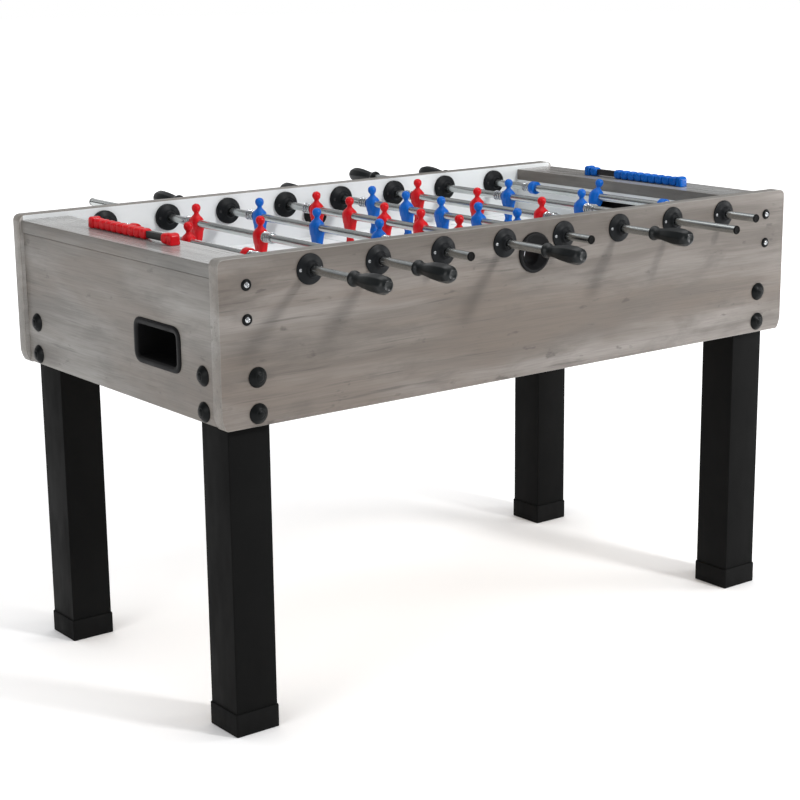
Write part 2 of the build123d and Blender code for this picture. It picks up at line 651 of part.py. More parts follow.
def handle(kind):
    """The moulded grip, its collar towards the table and its long axis along Y."""
    start = -HANDLE_START[kind]
    collar = [(12.4, 0), (14.2, -1.5), (14.4, -7), (12.4, -11), (11.0, -15)]
    swell = [(11.0, -15), (11.3, -23), (13.7, -37), (16.4, -56), (17.5, -74)]
    points = [(radius, start + y, 0) for radius, y in collar]
    bulb = [(radius, start + y, 0) for radius, y in swell]
    end = start - HANDLE_LENGTH
    rim = (8.5, end, 0)
    shoulder = Polyline(*points)
    side = Spline(*bulb, tangents=[(0, -1, 0), (0, -1, 0)])
    nose = Spline(bulb[-1], (15.4, end + 8, 0), rim, tangents=[(0, -1, 0), (-1, 0, 0)])
    close = Polyline(rim, (0, end, 0), (0, start, 0), points[0])
    grip = revolve(make_face([shoulder, side, nose, close]), Axis.Y)
    return grip - disc_y(ROD_RADIUS, start - HANDLE_SOCKET, start)


def rod_cap(kind):
    """The thin plastic plug that closes the rod's bare end."""
    end = BARE_END[kind]
    tip = end - ROD_CAP_THICKNESS
    cap = disc_y(ROD_CAP_RADIUS, tip, end)
    cap = fillet(cap.edges().group_by(Axis.Y)[-1], ROD_CAP_THICKNESS / 2)
    return cap + disc_y(ROD_BORE, tip - ROD_CAP_PLUG, tip)


def place_rod(index):
    """Red rods have their handle on the near side, blue rods on the far side."""
    kind, team, shift, lean = RODS[index]
    turn = 0 if team == RED else 180
    return Pos(ROD_XS[index], shift, ROD_HEIGHT) * Rot(0, lean, 0) * Rot(0, 0, turn)


# ---------------------------------------------------------------- score counters
def bead():
    """A square bead with a square hole, its middle at the origin."""
    half = BEAD_SIZE / 2
    cube = block((-half, half), (-BEAD_LENGTH / 2, BEAD_LENGTH / 2), (-half, half))
    cube = fillet(cube.edges().filter_by(Axis.X), BEAD_ROUND)
    cube = fillet(cube.faces().sort_by(Axis.X)[0].edges(), BEAD_EDGE)
    cube = fillet(cube.faces().sort_by(Axis.X)[-1].edges(), BEAD_EDGE)
    hole = Box(BAR_WIDTH + 2 * BAR_CLEARANCE, BEAD_LENGTH, BAR_HEIGHT + 2 * BAR_CLEARANCE)
    return cube - hole


def post(turn):
    """An end post of the counter: rounded on top at its outer end; turn is -1 or 1 along Y."""
    top = POST_SIZE - BEAD_SIZE / 2 - BEAD_LIFT
    foot = -BEAD_SIZE / 2 - BEAD_LIFT
    inner = turn * (COUNTER_LENGTH / 2 - POST_LENGTH)
    outer = turn * COUNTER_LENGTH / 2
    body = block((-POST_SIZE / 2, POST_SIZE / 2), (inner, outer), (foot, top))
    edges = body.edges().filter_by(Axis.X).group_by(Axis.Z)[-1].sort_by(Axis.Y)
    return fillet(edges[-1 if turn > 0 else 0], POST_ROUND)


def counter():
    """The bar, posts and beads of one counter, in its own frame, scored bead towards -Y."""
    inner = COUNTER_LENGTH / 2 - POST_LENGTH
    bar = Box(BAR_WIDTH, 2 * inner, BAR_HEIGHT)
    posts = [post(turn) for turn in SIDES]
    first = inner - BEAD_LENGTH / 2 - BEAD_GAP
    waiting = [Pos(0, first - n * BEAD_LENGTH, 0) * bead() for n in range(COUNTER_BEADS - 2)]
    upcoming = Pos(0, first - (COUNTER_BEADS - 2) * BEAD_LENGTH - BEAD_GAP, 0) * bead()
    scored = Pos(0, -first, 0) * bead()
    return [bar], posts, waiting, [upcoming], [scored]


def counter_place(end):
    """The red counter on the left shelf, the blue one turned round on the right shelf."""
    middle = COUNTER_LEFT_Y if end < 0 else COUNTER_RIGHT_Y
    height = CAP_TOP + BEAD_LIFT + BEAD_SIZE / 2
    return Pos(end * COUNTER_X, middle, height) * Rot(0, 0, 0 if end < 0 else 180)


# ---------------------------------------------------------------- write every node
def save_cabinet():
    save("side_panel_near", [side_panel(-1)])
    save("side_panel_far", [side_panel(1)])
    save("end_panel_left", [end_panel_left()])
    save("end_panel_right", [half_turn(end_panel_left())])
    save("cap_boards", [cap_board_left(), half_turn(cap_board_left())])
    save("goal_walls", [goal_wall_left(), half_turn(goal_wall_left())])
    save("playfield", [playfield()])
    save("base_board", [base_board()])
    save("corner_blocks", [corner_block(sx, sy) for sx, sy in CORNERS])
    save("legs", [leg(sx, sy) for sx, sy in CORNERS])
    save("foot_caps", [foot_cap(sx, sy) for sx, sy in CORNERS])
    bolts, caps = leg_fasteners()
    screws, cups = panel_screws()
    save("leg_bolts", bolts)
    save("bolt_caps", caps + cups)
    save("panel_screws", screws)
    save("ball_inlets", ball_inlet(-1) + ball_inlet(1))
    save("return_cups", [return_cup_left(), half_turn(return_cup_left())])
    save("ball_chutes", [ball_chute_left(), half_turn(ball_chute_left())])


def save_flanges():
    discs, screws = [], []
    for side in SIDES:
        for place, hub, rim in flange_places(side):
            discs.append(place * flange(hub, rim))
            screws += [place * flange_screw(turn, rim) for turn in SIDES]
    save("flanges", discs)
    save("flange_screws", screws)


def save_rods():
    for index, (kind, team, _, _) in enumerate(RODS):
        name = f"rod_{index + 1}"
        place = place_rod(index)
        still = Pos(ROD_XS[index], 0, ROD_HEIGHT)
        save(f"{name}_tube", [place * piece for piece in rod_hardware(kind)])
        save(f"{name}_players_{team}", [place * piece for piece in rod_players(kind)])
        save(f"{name}_grip", [place * handle(kind), place * rod_cap(kind)])
        save(f"{name}_bushes", [still * bush(side) for side in SIDES])


def save_counters():
    bars = []
    for end, team in ((-1, RED), (1, BLUE)):
        place = counter_place(end)
        bar, posts, waiting, upcoming, scored = counter()
        bars += [place * piece for piece in bar]
        save(f"score_posts_{team}", [place * piece for piece in posts])
        save(f"score_beads_{team}_waiting", [place * piece for piece in waiting])
        save(f"score_bead_{team}_next", [place * piece for piece in upcoming])
        save(f"score_bead_{team}_scored", [place * piece for piece in scored])
    save("score_bars", bars)


os.makedirs("parts", exist_ok=True)
save_cabinet()
save_flanges()
save_rods()
save_counters()
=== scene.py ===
import math

import bmesh
import bpy
from mathutils import Matrix, Vector


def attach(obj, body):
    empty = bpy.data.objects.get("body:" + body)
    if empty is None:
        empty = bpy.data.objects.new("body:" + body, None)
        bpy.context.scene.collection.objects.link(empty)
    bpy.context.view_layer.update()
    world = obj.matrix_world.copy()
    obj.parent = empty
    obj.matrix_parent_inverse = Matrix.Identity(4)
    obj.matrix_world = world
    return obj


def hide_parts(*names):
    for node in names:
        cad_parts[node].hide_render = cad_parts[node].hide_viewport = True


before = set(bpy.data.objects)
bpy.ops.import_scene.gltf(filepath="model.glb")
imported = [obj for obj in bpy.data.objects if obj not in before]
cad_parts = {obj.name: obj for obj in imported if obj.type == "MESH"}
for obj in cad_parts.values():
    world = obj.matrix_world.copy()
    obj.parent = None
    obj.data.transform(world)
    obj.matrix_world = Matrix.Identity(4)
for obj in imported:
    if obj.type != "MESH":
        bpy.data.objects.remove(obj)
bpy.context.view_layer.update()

# Shapes below are written in millimetres in the row frame and scaled once, when a piece is made.
MM = 0.001
RED, BLUE = "red", "blue"
SIDES = (-1, 1)
CORNERS = [(sx, sy) for sx in SIDES for sy in SIDES]

# ---------------------------------------------------------------- sizes of the CAD model
HALF_LENGTH, HALF_WIDTH = 715.0, 386.0
BOX_BOTTOM, SIDE_BOTTOM, TABLE_TOP = 587.0, 583.5, 885.0
INNER_Y = 358.0
SIDE_TOP_RADIUS, FOOT_DROP, FOOT_ARC = 15.0, 30.0, 50.0
END_OUTER_X, END_INNER_X = 707.0, 687.0
CAP_OUTER_X, CAP_INNER_X = 710.5, 604.5
CAP_BOTTOM, CAP_TOP = 849.5, 874.5
JOINT_LINE = 1.2
FIELD_BOTTOM, FIELD_TOP, FIELD_LET_IN = 764.0, 772.0, 3.0
GOAL_WALL_BACK, GOAL_WALL_BOTTOM = 616.5, 704.0
GOAL_HALF_WIDTH, GOAL_TOP = 95.0, 834.0
LEG_X, LEG_Y, LEG_HALF, LEG_ROOM = 643.0, 314.0, 44.0, 30.0
LEG_BOTTOM, LEG_TOP = 4.0, 700.0
FOOT_HALF, FOOT_HEIGHT = 46.3, 44.0
BOLT_HEIGHTS = (607.0, 672.0)
BOLT_X, BOLT_Y = 640.0, 316.0
CAP_RADIUS, CAP_RISE = 18.7, 11.0
CAP_WALL, CAP_CREASE_RADIUS, CAP_CREASE_DEPTH = 1.2, 7.4, 0.9
SCREW_X, SCREW_HEIGHTS = 658.0, (776.0, 837.0)
# Screw heads: radius, rise above the seat and depth of the foot in the hole.
PANEL_SCREW, FLANGE_SCREW = (6.0, 4.6, 30.0), (3.3, 1.9, 6.0)
ROD_XS = [(n - 3.5) * 150.0 for n in range(8)]
ROD_HEIGHT, ROD_RADIUS, ROD_HOLE_RADIUS = 850.0, 8.0, 15.0
FLANGE_RADIUS, FLANGE_SCREW_PITCH = 28.0, 21.5
# Flanges outside and inside: height of the hub and of the rim.
FLANGE_HEIGHTS = ((14.0, 2.4), (18.0, 8.4))
INLET_HEIGHT, INLET_DROP = 824.0, 6.0
INLET_DISH_RADIUS, INLET_RING_RADIUS = 35.8, 20.3
CUP_Y, CUP_Z = -161.0, 703.0
CUP_OPENING, CUP_OPENING_CORNER, CUP_MOULD = (72.0, 33.0), 13.0, (69.0, 30.0)
COUNTER_X, COUNTER_LENGTH = 648.0, 312.0
COUNTER_Y = {RED: 18.0, BLUE: 2.0}
BEAD_SIZE, BEAD_LENGTH, BEAD_LIFT, BEAD_GAP, BEADS = 20.0, 22.0, 0.5, 0.3, 10
BEAD_CORNER, BEAD_EDGE = 8.2, 6.0
POST_LENGTH, POST_SIZE, POST_EDGE = 17.0, 22.5, 4.5
POST_OUTER_CORNER, POST_INNER_CORNER, POST_FOOT_CORNER = 8.4, 5.0, 2.4
BAR_HALF_WIDTH, BAR_HALF_HEIGHT = 5.5, 6.25

ONE, TWO, THREE, FIVE = "one", "two", "three", "five"
MEN = {
    ONE: (0.0,),
    TWO: (-120.0, 120.0),
    THREE: (-210.0, 0.0, 210.0),
    FIVE: (-242.6, -121.3, 0.0, 121.3, 242.6),
}
MAN_HALF_WIDTH = 16.0
HANDLE_START = {ONE: 535.0, TWO: 617.0, THREE: 535.0, FIVE: 495.0}
BARE_END = {ONE: 476.0, TWO: 568.0, THREE: 489.0, FIVE: 458.0}
HANDLE_SOCKET = 80.0
PLUG_RADIUS, PLUG_LENGTH = 8.7, 3.0
STOP_POSITION, STOP_HALF_LENGTH, STOP_RADIUS = 209.6, 7.8, 14.7
WASHER_RADIUS, WASHER_THICKNESS = 11.0, 2.0
SPRING_LENGTH, SPRING_RADIUS, SPRING_COILS, SPRING_WIRE = 22.0, 9.6, 3.6, 1.05
# Each rod from left to right: kind, team, slide along Y and lean of the figures in degrees.
RODS = [
    (ONE, RED, 21.0, 0.0),
    (TWO, RED, 118.0, 0.0),
    (THREE, BLUE, 19.5, 0.0),
    (FIVE, RED, -7.5, 0.0),
    (FIVE, BLUE, -9.5, -4.0),
    (THREE, RED, 55.0, 0.0),
    (TWO, BLUE, 4.5, 0.0),
    (ONE, BLUE, -3.5, 16.0),
]


# ---------------------------------------------------------------- node materials
def fill_ramp(band, stops):
    """Give a colour ramp its stops, each (position, colour)."""
    while len(band.elements) < len(stops):
        band.elements.new(0.5)
    for element, (position, colour) in zip(band.elements, stops):
        element.position = position
        element.color = (*colour, 1.0)


class Shader:
    """A material whose Principled shader is fed by procedural nodes."""

    def __init__(self, name):
        self.material = bpy.data.materials.new(name)
        self.material.use_nodes = True
        self.tree = self.material.node_tree
        self.surface = self.tree.nodes["Principled BSDF"]
        self.place = self.node("ShaderNodeTexCoord").outputs["Object"]

    def node(self, kind, inputs=None, **settings):
        """A new node with its inputs fed and its properties set."""
        made = self.tree.nodes.new(kind)
        for key, value in settings.items():
            setattr(made, key, value)
        for key, value in (inputs or {}).items():
            self.feed(made.inputs[key], value)
        return made

    def feed(self, socket, value):
        """Link a socket to the input, or set the input to a constant."""
        if isinstance(value, bpy.types.NodeSocket):
            self.tree.links.new(value, socket)
        else:
            socket.default_value = value

    def stretched(self, scale, start=None):
        """Object coordinates, or start, scaled along each axis."""
        inputs = {"Vector": start or self.place, "Scale": scale}
        return self.node("ShaderNodeMapping", inputs).outputs["Vector"]

    def noise(self, vector, scale, detail=4.0, roughness=0.5, distortion=0.0):
        inputs = {
            "Vector": vector, "Scale": scale, "Detail": detail,
            "Roughness": roughness, "Distortion": distortion,
        }
        return self.node("ShaderNodeTexNoise", inputs).outputs["Fac"]

    def ramp(self, factor, stops):
        """Colours over a factor, from (position, colour) stops."""
        made = self.node("ShaderNodeValToRGB", {"Fac": factor})
        fill_ramp(made.color_ramp, stops)
        return made.outputs["Color"]

    def level(self, factor, low, high, start=0.3, end=0.7):
        """The factor's range start to end moved to low to high."""
        inputs = {
            "Value": factor, "From Min": start, "From Max": end, "To Min": low, "To Max": high,
        }
        return self.node("ShaderNodeMapRange", inputs).outputs["Result"]

    def math(self, operation, first, second=0.0):
        made = self.node("ShaderNodeMath", operation=operation)
        self.feed(made.inputs[0], first)
        self.feed(made.inputs[1], second)
        return made.outputs["Value"]

    def mix(self, factor, first, second):
        """The first colour where the factor is 0 and the second where it is 1."""
        made = self.node("ShaderNodeMix", data_type="RGBA")
        for key, value in (("Factor_Float", factor), ("A_Color", first), ("B_Color", second)):
            socket = next(s for s in made.inputs if s.identifier == key)
            if isinstance(value, tuple):
                value = (*value, 1.0)
            self.feed(socket, value)
        return next(s for s in made.outputs if s.identifier == "Result_Color")

    def bump(self, height, strength, distance):
        inputs = {"Height": height, "Strength": strength, "Distance": distance}
        normal = self.node("ShaderNodeBump", inputs).outputs["Normal"]
        self.feed(self.surface.inputs["Normal"], normal)

    def set(self, **values):
        """Feed the shader's own sockets, named as in base_color."""
        for key, value in values.items():
            name = key.replace("_", " ").title().replace("Ior", "IOR")
            if isinstance(value, tuple) and len(value) == 3:
                value = (*value, 1.0)
            self.feed(self.surface.inputs[name], value)


OAK_DRIFT, OAK_BROWN = 0.024, (0.150, 0.108, 0.078)
# Grey oak of the inner faces beyond the end boards, lightened well past the outer faces' oak as
# painted light on that narrow strip.
INNER_GREYS_PAINTED_LIGHT = (0.35, 0.335, 0.315), (0.43, 0.415, 0.395), (0.50, 0.485, 0.465)
WHITE_TONES = (0.66, 0.685, 0.69), (0.72, 0.74, 0.745)


def oak_colour(s, along, dark, middle, light):
    """Grey oak print along one axis: figure, brown clouds, dark streaks, knots and pores."""

    def grain(lengthwise, across):
        scale = [across] * 3
        scale[along] = lengthwise
        return tuple(scale)

    def vector_math(operation, first, second, socket=1):
        made = s.node("ShaderNodeVectorMath", operation=operation)
        s.feed(made.inputs[0], first)
        s.feed(made.inputs[socket], second)
        return made.outputs["Vector"]

    def share(part, tone):
        return tuple(part * value for value in tone)

    inputs = {"Vector": s.stretched(grain(2.2, 5.0)), "Scale": 1.0, "Detail": 2.0}
    drift = s.node("ShaderNodeTexNoise", inputs).outputs["Color"]
    centred = vector_math("SUBTRACT", drift, (0.5, 0.5, 0.5))
    small = vector_math("SCALE", centred, OAK_DRIFT, "Scale")
    bent = vector_math("ADD", s.place, small)

    def pattern(lengthwise, across, detail, roughness, distortion=0.0):
        vector = s.stretched(grain(lengthwise, across), start=bent)
        return s.noise(vector, 1.0, detail, roughness, distortion)

    figure = pattern(1.1, 11.0, 6.0, 0.55)
    clouds = pattern(1.6, 6.0, 4.0, 0.55, 0.5)
    blots = pattern(6.0, 19.0, 5.0, 0.6, 0.4)
    streaks = pattern(1.3, 46.0, 5.0, 0.60)
    cracks = pattern(3.2, 95.0, 3.0, 0.6)
    knots = pattern(16.0, 42.0, 3.0, 0.6)
    fibres = pattern(9.0, 420.0, 2.0, 0.5)
    colour = s.ramp(figure, [(0.38, dark), (0.48, middle), (0.58, light), (0.70, middle)])
    brown = tuple(0.62 * a + 0.38 * b for a, b in zip(dark, OAK_BROWN))
    layers = (
        (clouds, 0.0, 0.78, 0.46, 0.62, brown),
        (blots, 0.0, 0.50, 0.52, 0.68, share(0.70, dark)),
        (streaks, 0.36, 0.0, 0.35, 0.50, share(0.78, dark)),
        (streaks, 0.0, 0.16, 0.56, 0.72, share(1.12, light)),
        (cracks, 0.50, 0.0, 0.29, 0.37, share(0.45, dark)),
        (knots, 0.0, 0.60, 0.655, 0.73, share(0.42, dark)),
        (fibres, 0.17, 0.0, 0.34, 0.56, share(0.50, dark)),
    )
    for factor, low, high, start, end, tone in layers:
        colour = s.mix(s.level(factor, low, high, start, end), colour, tone)
    return colour, fibres


def laminate(name, along, dark, middle, light, roughness=0.42, relief=0.08):
    """A grey-oak print under a satin film."""
    s = Shader(name)
    colour, fibres = oak_colour(s, along, dark, middle, light)
    gloss = s.level(fibres, roughness + 0.08, roughness - 0.04)
    s.set(base_color=colour, roughness=gloss, specular_ior_level=0.40)
    s.bump(fibres, relief, 0.0004)
    return s.material


def inner_face():
    """The inner face of a side board: white in the field, grey oak beyond the end boards, there
    lightened as painted light.
    """
    s = Shader("inner_face")
    colour, fibres = oak_colour(s, 0, *INNER_GREYS_PAINTED_LIGHT)
    split = s.node("ShaderNodeSeparateXYZ", {"Vector": s.place})
    away = s.math("ABSOLUTE", split.outputs["X"])
    beyond = s.math("GREATER_THAN", away, (END_OUTER_X - 0.8) * MM)
    cloud = s.noise(s.place, 6.0, 4.0, 0.6)
    white = s.ramp(cloud, [(0.3, WHITE_TONES[0]), (0.7, WHITE_TONES[1])])
    s.set(base_color=s.mix(beyond, white, colour), roughness=s.level(cloud, 0.30, 0.40))
    s.bump(fibres, 0.02, 0.0002)
    return s.material


def coated(name, colour, second, roughness, grain_scale, bump, specular=0.5):
    """A moulded or painted surface: two close tones, uneven gloss and a fine grain."""
    s = Shader(name)
    broad = s.noise(s.place, 9.0, 4.0, 0.6)
    fine = s.noise(s.place, grain_scale, 2.0, 0.5)
    smears = s.noise(s.stretched((30.0, 30.0, 9.0)), 1.0, 3.0, 0.6)
    tone = s.ramp(broad, [(0.32, colour), (0.68, second)])
    gloss = s.level(smears, roughness * 0.85, roughness * 1.18)
    s.set(base_color=tone, roughness=gloss, specular_ior_level=specular)
    s.bump(fine, bump, 0.0002)
    return s.material


def drawn_metal(name, colour, second, roughness):
    """Drawn metal with faint lines along Y."""
    s = Shader(name)
    lines = s.noise(s.stretched((900.0, 6.0, 900.0)), 1.0, 3.0, 0.6)
    patches = s.noise(s.place, 14.0, 3.0, 0.6)
    s.set(
        base_color=s.ramp(patches, [(0.3, colour), (0.7, second)]),
        roughness=s.level(lines, roughness * 0.9, roughness * 1.12),
        metallic=1.0,
    )
    s.bump(lines, 0.008, 0.0001)
    return s.material


# Markings of the field in metres from its centre: along X and Y, and radii.
MARK_HALF_WIDTH, MARK_COLOUR = 0.0016, (0.30, 0.37, 0.36)
FIELD_WHITES = (0.84, 0.86, 0.87), (0.88, 0.90, 0.905)
BORDER = (0.585, 0.325)
GOAL_AREA = (0.375, 0.19)
SMALL_AREA = (0.495, 0.115)
CENTRE_CIRCLE, CENTRE_SPOT = 0.105, 0.006
PENALTY_X, PENALTY_ARC, PENALTY_SPOT = 0.41, 0.075, 0.005


def field_material():
    """The white playing field with thin grey-green markings."""
    s = Shader("field_print")
    split = s.node("ShaderNodeSeparateXYZ", {"Vector": s.place})
    x, y = split.outputs["X"], split.outputs["Y"]
    wide = s.math("ABSOLUTE", x)
    tall = s.math("ABSOLUTE", y)

    def line(distance):
        return s.math("LESS_THAN", s.math("ABSOLUTE", distance), MARK_HALF_WIDTH)

    def line_at(value, position):
        return line(s.math("SUBTRACT", value, position))

    def both(mask, comparison, value, limit):
        return s.math("MULTIPLY", mask, s.math(comparison, value, limit))

    def beyond_ring(centre_x, radius):
        dx = s.math("SUBTRACT", wide, centre_x)
        squares = s.math("ADD", s.math("MULTIPLY", dx, dx), s.math("MULTIPLY", y, y))
        return s.math("SUBTRACT", s.math("SQRT", squares), radius)

    marks = [
        line(x),
        line(beyond_ring(0.0, CENTRE_CIRCLE)),
        s.math("LESS_THAN", beyond_ring(0.0, 0.0), CENTRE_SPOT),
        s.math("LESS_THAN", beyond_ring(PENALTY_X, 0.0), PENALTY_SPOT),
        line_at(tall, BORDER[1]),
    ]
    for reach, half in (BORDER, GOAL_AREA, SMALL_AREA):
        marks.append(both(line_at(wide, reach), "LESS_THAN", tall, half))
    for reach, half in (GOAL_AREA, SMALL_AREA):
        marks.append(both(line_at(tall, half), "GREATER_THAN", wide, reach))
    arc = line(beyond_ring(PENALTY_X, PENALTY_ARC))
    marks.append(both(arc, "LESS_THAN", wide, GOAL_AREA[0]))
    ink = marks[0]
    for mark in marks[1:]:
        ink = s.math("MAXIMUM", ink, mark)
    cloud = s.noise(s.place, 5.0, 4.0, 0.6)
    white = s.ramp(cloud, [(0.3, FIELD_WHITES[0]), (0.7, FIELD_WHITES[1])])
    s.set(base_color=s.mix(ink, white, MARK_COLOUR), roughness=s.level(cloud, 0.26, 0.36))
    s.bump(s.noise(s.place, 420.0, 2.0), 0.03, 0.0002)
    return s.material


def chipboard():
    """Bare pressed board with flakes."""
    s = Shader("raw_board")
    inputs = {"Vector": s.stretched((1.0, 0.6, 1.0)), "Scale": 240.0}
    cells = s.node("ShaderNodeTexVoronoi", inputs)
    dust = s.noise(s.place, 60.0, 6.0, 0.7)
    tones = [(0.2, (0.30, 0.22, 0.15)), (0.8, (0.52, 0.41, 0.29))]
    flakes = s.ramp(cells.outputs["Color"], tones)
    s.set(base_color=s.mix(s.level(dust, 0.0, 0.6), flakes, (0.38, 0.29, 0.20)), roughness=0.82)
    s.bump(cells.outputs["Distance"], 0.25, 0.0004)
    return s.material


SIDE_OAK = laminate(
    "grey_oak_long", 0, (0.112, 0.096, 0.083), (0.168, 0.149, 0.133), (0.222, 0.202, 0.185))
END_OAK = laminate(
    "grey_oak_end", 1, (0.154, 0.143, 0.130), (0.220, 0.210, 0.195), (0.270, 0.260, 0.243))
SHELF_EDGE = laminate(
    "shelf_edge", 1, (0.132, 0.127, 0.117), (0.186, 0.180, 0.169), (0.228, 0.221, 0.209))
# The shelf tops: the grey oak print lightened and greyed well past the end boards' oak, as painted
# sheen for the gloss on the tops.
SHELF_OAK_PAINTED_SHEEN = laminate(
    "grey_oak_shelf_painted_sheen", 1, (0.285, 0.285, 0.278), (0.350, 0.350, 0.342), (0.400, 0.400, 0.392),
    roughness=0.24, relief=0.015)
BAND = laminate(
    "edge_band", 0, (0.185, 0.174, 0.158), (0.232, 0.220, 0.203), (0.275, 0.263, 0.245))
INNER_FACE = inner_face()
WHITE = coated("white_melamine", *WHITE_TONES, 0.34, 500.0, 0.03)
# Painted shade: a near-black lining on the inner faces of the end boards and the backs of the goal
# walls, standing in for the shade inside the closed ends of the box.
PAINTED_SHADE_INSIDE = coated(
    "painted_shade_lining", (0.020, 0.021, 0.022), (0.030, 0.031, 0.032), 0.7, 300.0, 0.08, 0.2)
FIELD = field_material()
RAW = chipboard()
LEG_BLACK = coated(
    "leg_lacquer", (0.0040, 0.0041, 0.0041), (0.0050, 0.0051, 0.0050), 0.50, 500.0, 0.02, 0.045)
RUBBER = coated(
    "black_rubber", (0.004, 0.004, 0.004), (0.007, 0.007, 0.007), 0.60, 700.0, 0.10, 0.07)
CAP_BLACK = coated(
    "cap_plastic", (0.0025, 0.0032, 0.0034), (0.0038, 0.0046, 0.0048), 0.36, 800.0, 0.02, 0.11)
FLANGE_BLACK = coated(
    "flange_plastic", (0.0048, 0.0058, 0.0066), (0.0072, 0.0082, 0.0095), 0.42, 900.0, 0.03, 0.10)
CUP_BLACK = coated(
    "cup_plastic", (0.005, 0.005, 0.0055), (0.008, 0.008, 0.0085), 0.45, 700.0, 0.05, 0.10)
GRIP_BLACK = coated(
    "grip_plastic", (0.0045, 0.0060, 0.0065), (0.0065, 0.0082, 0.0088), 0.33, 900.0, 0.02, 0.26)
RED_PLASTIC = coated(
    "red_plastic", (0.52, 0.002, 0.006), (0.60, 0.003, 0.009), 0.30, 700.0, 0.02, 0.22)
BLUE_PLASTIC = coated(
    "blue_plastic", (0.0, 0.096, 0.43), (0.0, 0.118, 0.51), 0.30, 700.0, 0.02, 0.22)
STEEL = drawn_metal("rod_steel", (0.46, 0.485, 0.48), (0.55, 0.575, 0.57), 0.22)
CHROME = drawn_metal("chrome", (0.46, 0.475, 0.49), (0.54, 0.555, 0.57), 0.22)
ZINC = drawn_metal("zinc", (0.30, 0.31, 0.32), (0.40, 0.41, 0.42), 0.40)
ZINC_DARK = coated(
    "blackened_zinc", (0.012, 0.012, 0.013), (0.020, 0.020, 0.021), 0.35, 900.0, 0.03, 0.3)
BAR_BLACK = coated(
    "bar_paint", (0.010, 0.010, 0.011), (0.016, 0.016, 0.017), 0.36, 600.0, 0.04, 0.25)
NYLON = coated(
    "black_nylon", (0.012, 0.012, 0.012), (0.018, 0.018, 0.018), 0.50, 600.0, 0.05, 0.2)
TEAM = {RED: RED_PLASTIC, BLUE: BLUE_PLASTIC}


# ---------------------------------------------------------------- shape helpers
def place(x=0.0, y=0.0, z=0.0, turn=0.0):
    """A move after a turn about Z, in degrees."""
    return Matrix.Translation((x, y, z)) @ Matrix.Rotation(math.radians(turn), 4, "Z")


def rounded(points, steps, closed=False):
    """A 2-D outline whose corners are rounded; each point is (u, v, cut along each side)."""
    out = []
    for k, (u, v, cut) in enumerate(points):
        corner = Vector((u, v))
        if not cut or (not closed and k in (0, len(points) - 1)):
            out.append(tuple(corner))
            continue
        before = Vector(points[k - 1][:2]) - corner
        after = Vector(points[(k + 1) % len(points)][:2]) - corner
        first = corner + before.normalized() * cut
        last = corner + after.normalized() * cut
        for n in range(steps + 1):
            t = n / steps
            out.append(tuple(first * (1 - t) ** 2 + corner * (2 * t * (1 - t)) + last * t ** 2))
    return out


def rectangle(u_low, u_high, v_low, v_high, cut=0.0, steps=4):
    """A rectangular outline with rounded corners."""
    corners = ((u_low, v_low), (u_high, v_low), (u_high, v_high), (u_low, v_high))
    return rounded([(u, v, cut) for u, v in corners], steps, closed=True)


def circle(radius, u, v, count=40):
    """A round outline about (u, v)."""
    angles = [2 * math.pi * n / count for n in range(count)]
    return [(u + radius * math.cos(t), v + radius * math.sin(t)) for t in angles]


def turns(count):
    """Angles of an even ring that starts half a step past zero."""
    return [2 * math.pi * (n + 0.5) / count for n in range(count)]


def inset(loop, amount):
    """The loop moved inwards by amount, or outwards where it is negative."""
    count = len(loop)
    area = sum(loop[n - 1][0] * loop[n][1] - loop[n][0] * loop[n - 1][1] for n in range(count))
    turn = 1 if area > 0 else -1
    out = []
    for n in range(count):
        before, here, after = (Vector(loop[m % count]) for m in (n - 1, n, n + 1))
        one = (here - before).normalized()
        two = (after - here).normalized()
        first = Vector((-one.y, one.x)) * turn
        second = Vector((-two.y, two.x)) * turn
        normal = (first + second).normalized()
        reach = amount / max(0.4, normal.dot(first))
        out.append(tuple(here + normal * reach))
    return out


def smooth_rows(rows, count):
    """Rows read as curves over the first column, without overshoot, at count even steps."""
    keys = [row[0] for row in rows]
    columns = list(zip(*rows))[1:]
    slopes = []
    for column in columns:
        steps = [(b - a) / (q - p) for a, b, p, q in zip(column, column[1:], keys, keys[1:])]
        inner = [0.0 if a * b <= 0 else 2 * a * b / (a + b) for a, b in zip(steps, steps[1:])]
        slopes.append([steps[0]] + inner + [steps[-1]])
    out = []
    for n in range(count):
        key = keys[0] + (keys[-1] - keys[0]) * n / (count - 1)
        k = max(i for i in range(len(keys) - 1) if keys[i] <= key or i == 0)
        gap = keys[k + 1] - keys[k]
        t = (key - keys[k]) / gap
        row = [key]
        for column, slope in zip(columns, slopes):
            a, b = column[k], column[k + 1]
            p, q = slope[k] * gap, slope[k + 1] * gap
            row.append(
                a * (2 * t ** 3 - 3 * t ** 2 + 1) + p * (t ** 3 - 2 * t ** 2 + t)
                + b * (3 * t ** 2 - 2 * t ** 3) + q * (t ** 3 - t ** 2)
            )
        out.append(tuple(row))
    return out


def bell(value, middle, width):
    """One at the middle, falling off over the width."""
    return math.exp(-(((value - middle) / width) ** 2))


def window(value, low, high, soft):
    """One between low and high, falling off over soft on both sides."""
    rise = min(1.0, max(0.0, (value - low) / soft + 0.5))
    fall = min(1.0, max(0.0, (high - value) / soft + 0.5))
    return rise * rise * (3 - 2 * rise) * fall * fall * (3 - 2 * fall)


def link_object(name, data):
    """A new object in the scene."""
    made = bpy.data.objects.new(name, data)
    bpy.context.scene.collection.objects.link(made)
    return made


def mesh_object(name, mesh, materials):
    """A new object from a bmesh, which is freed."""
    data = bpy.data.meshes.new(name)
    mesh.to_mesh(data)
    mesh.free()
    for material in materials:
        data.materials.append(material)
    return link_object(name, data)


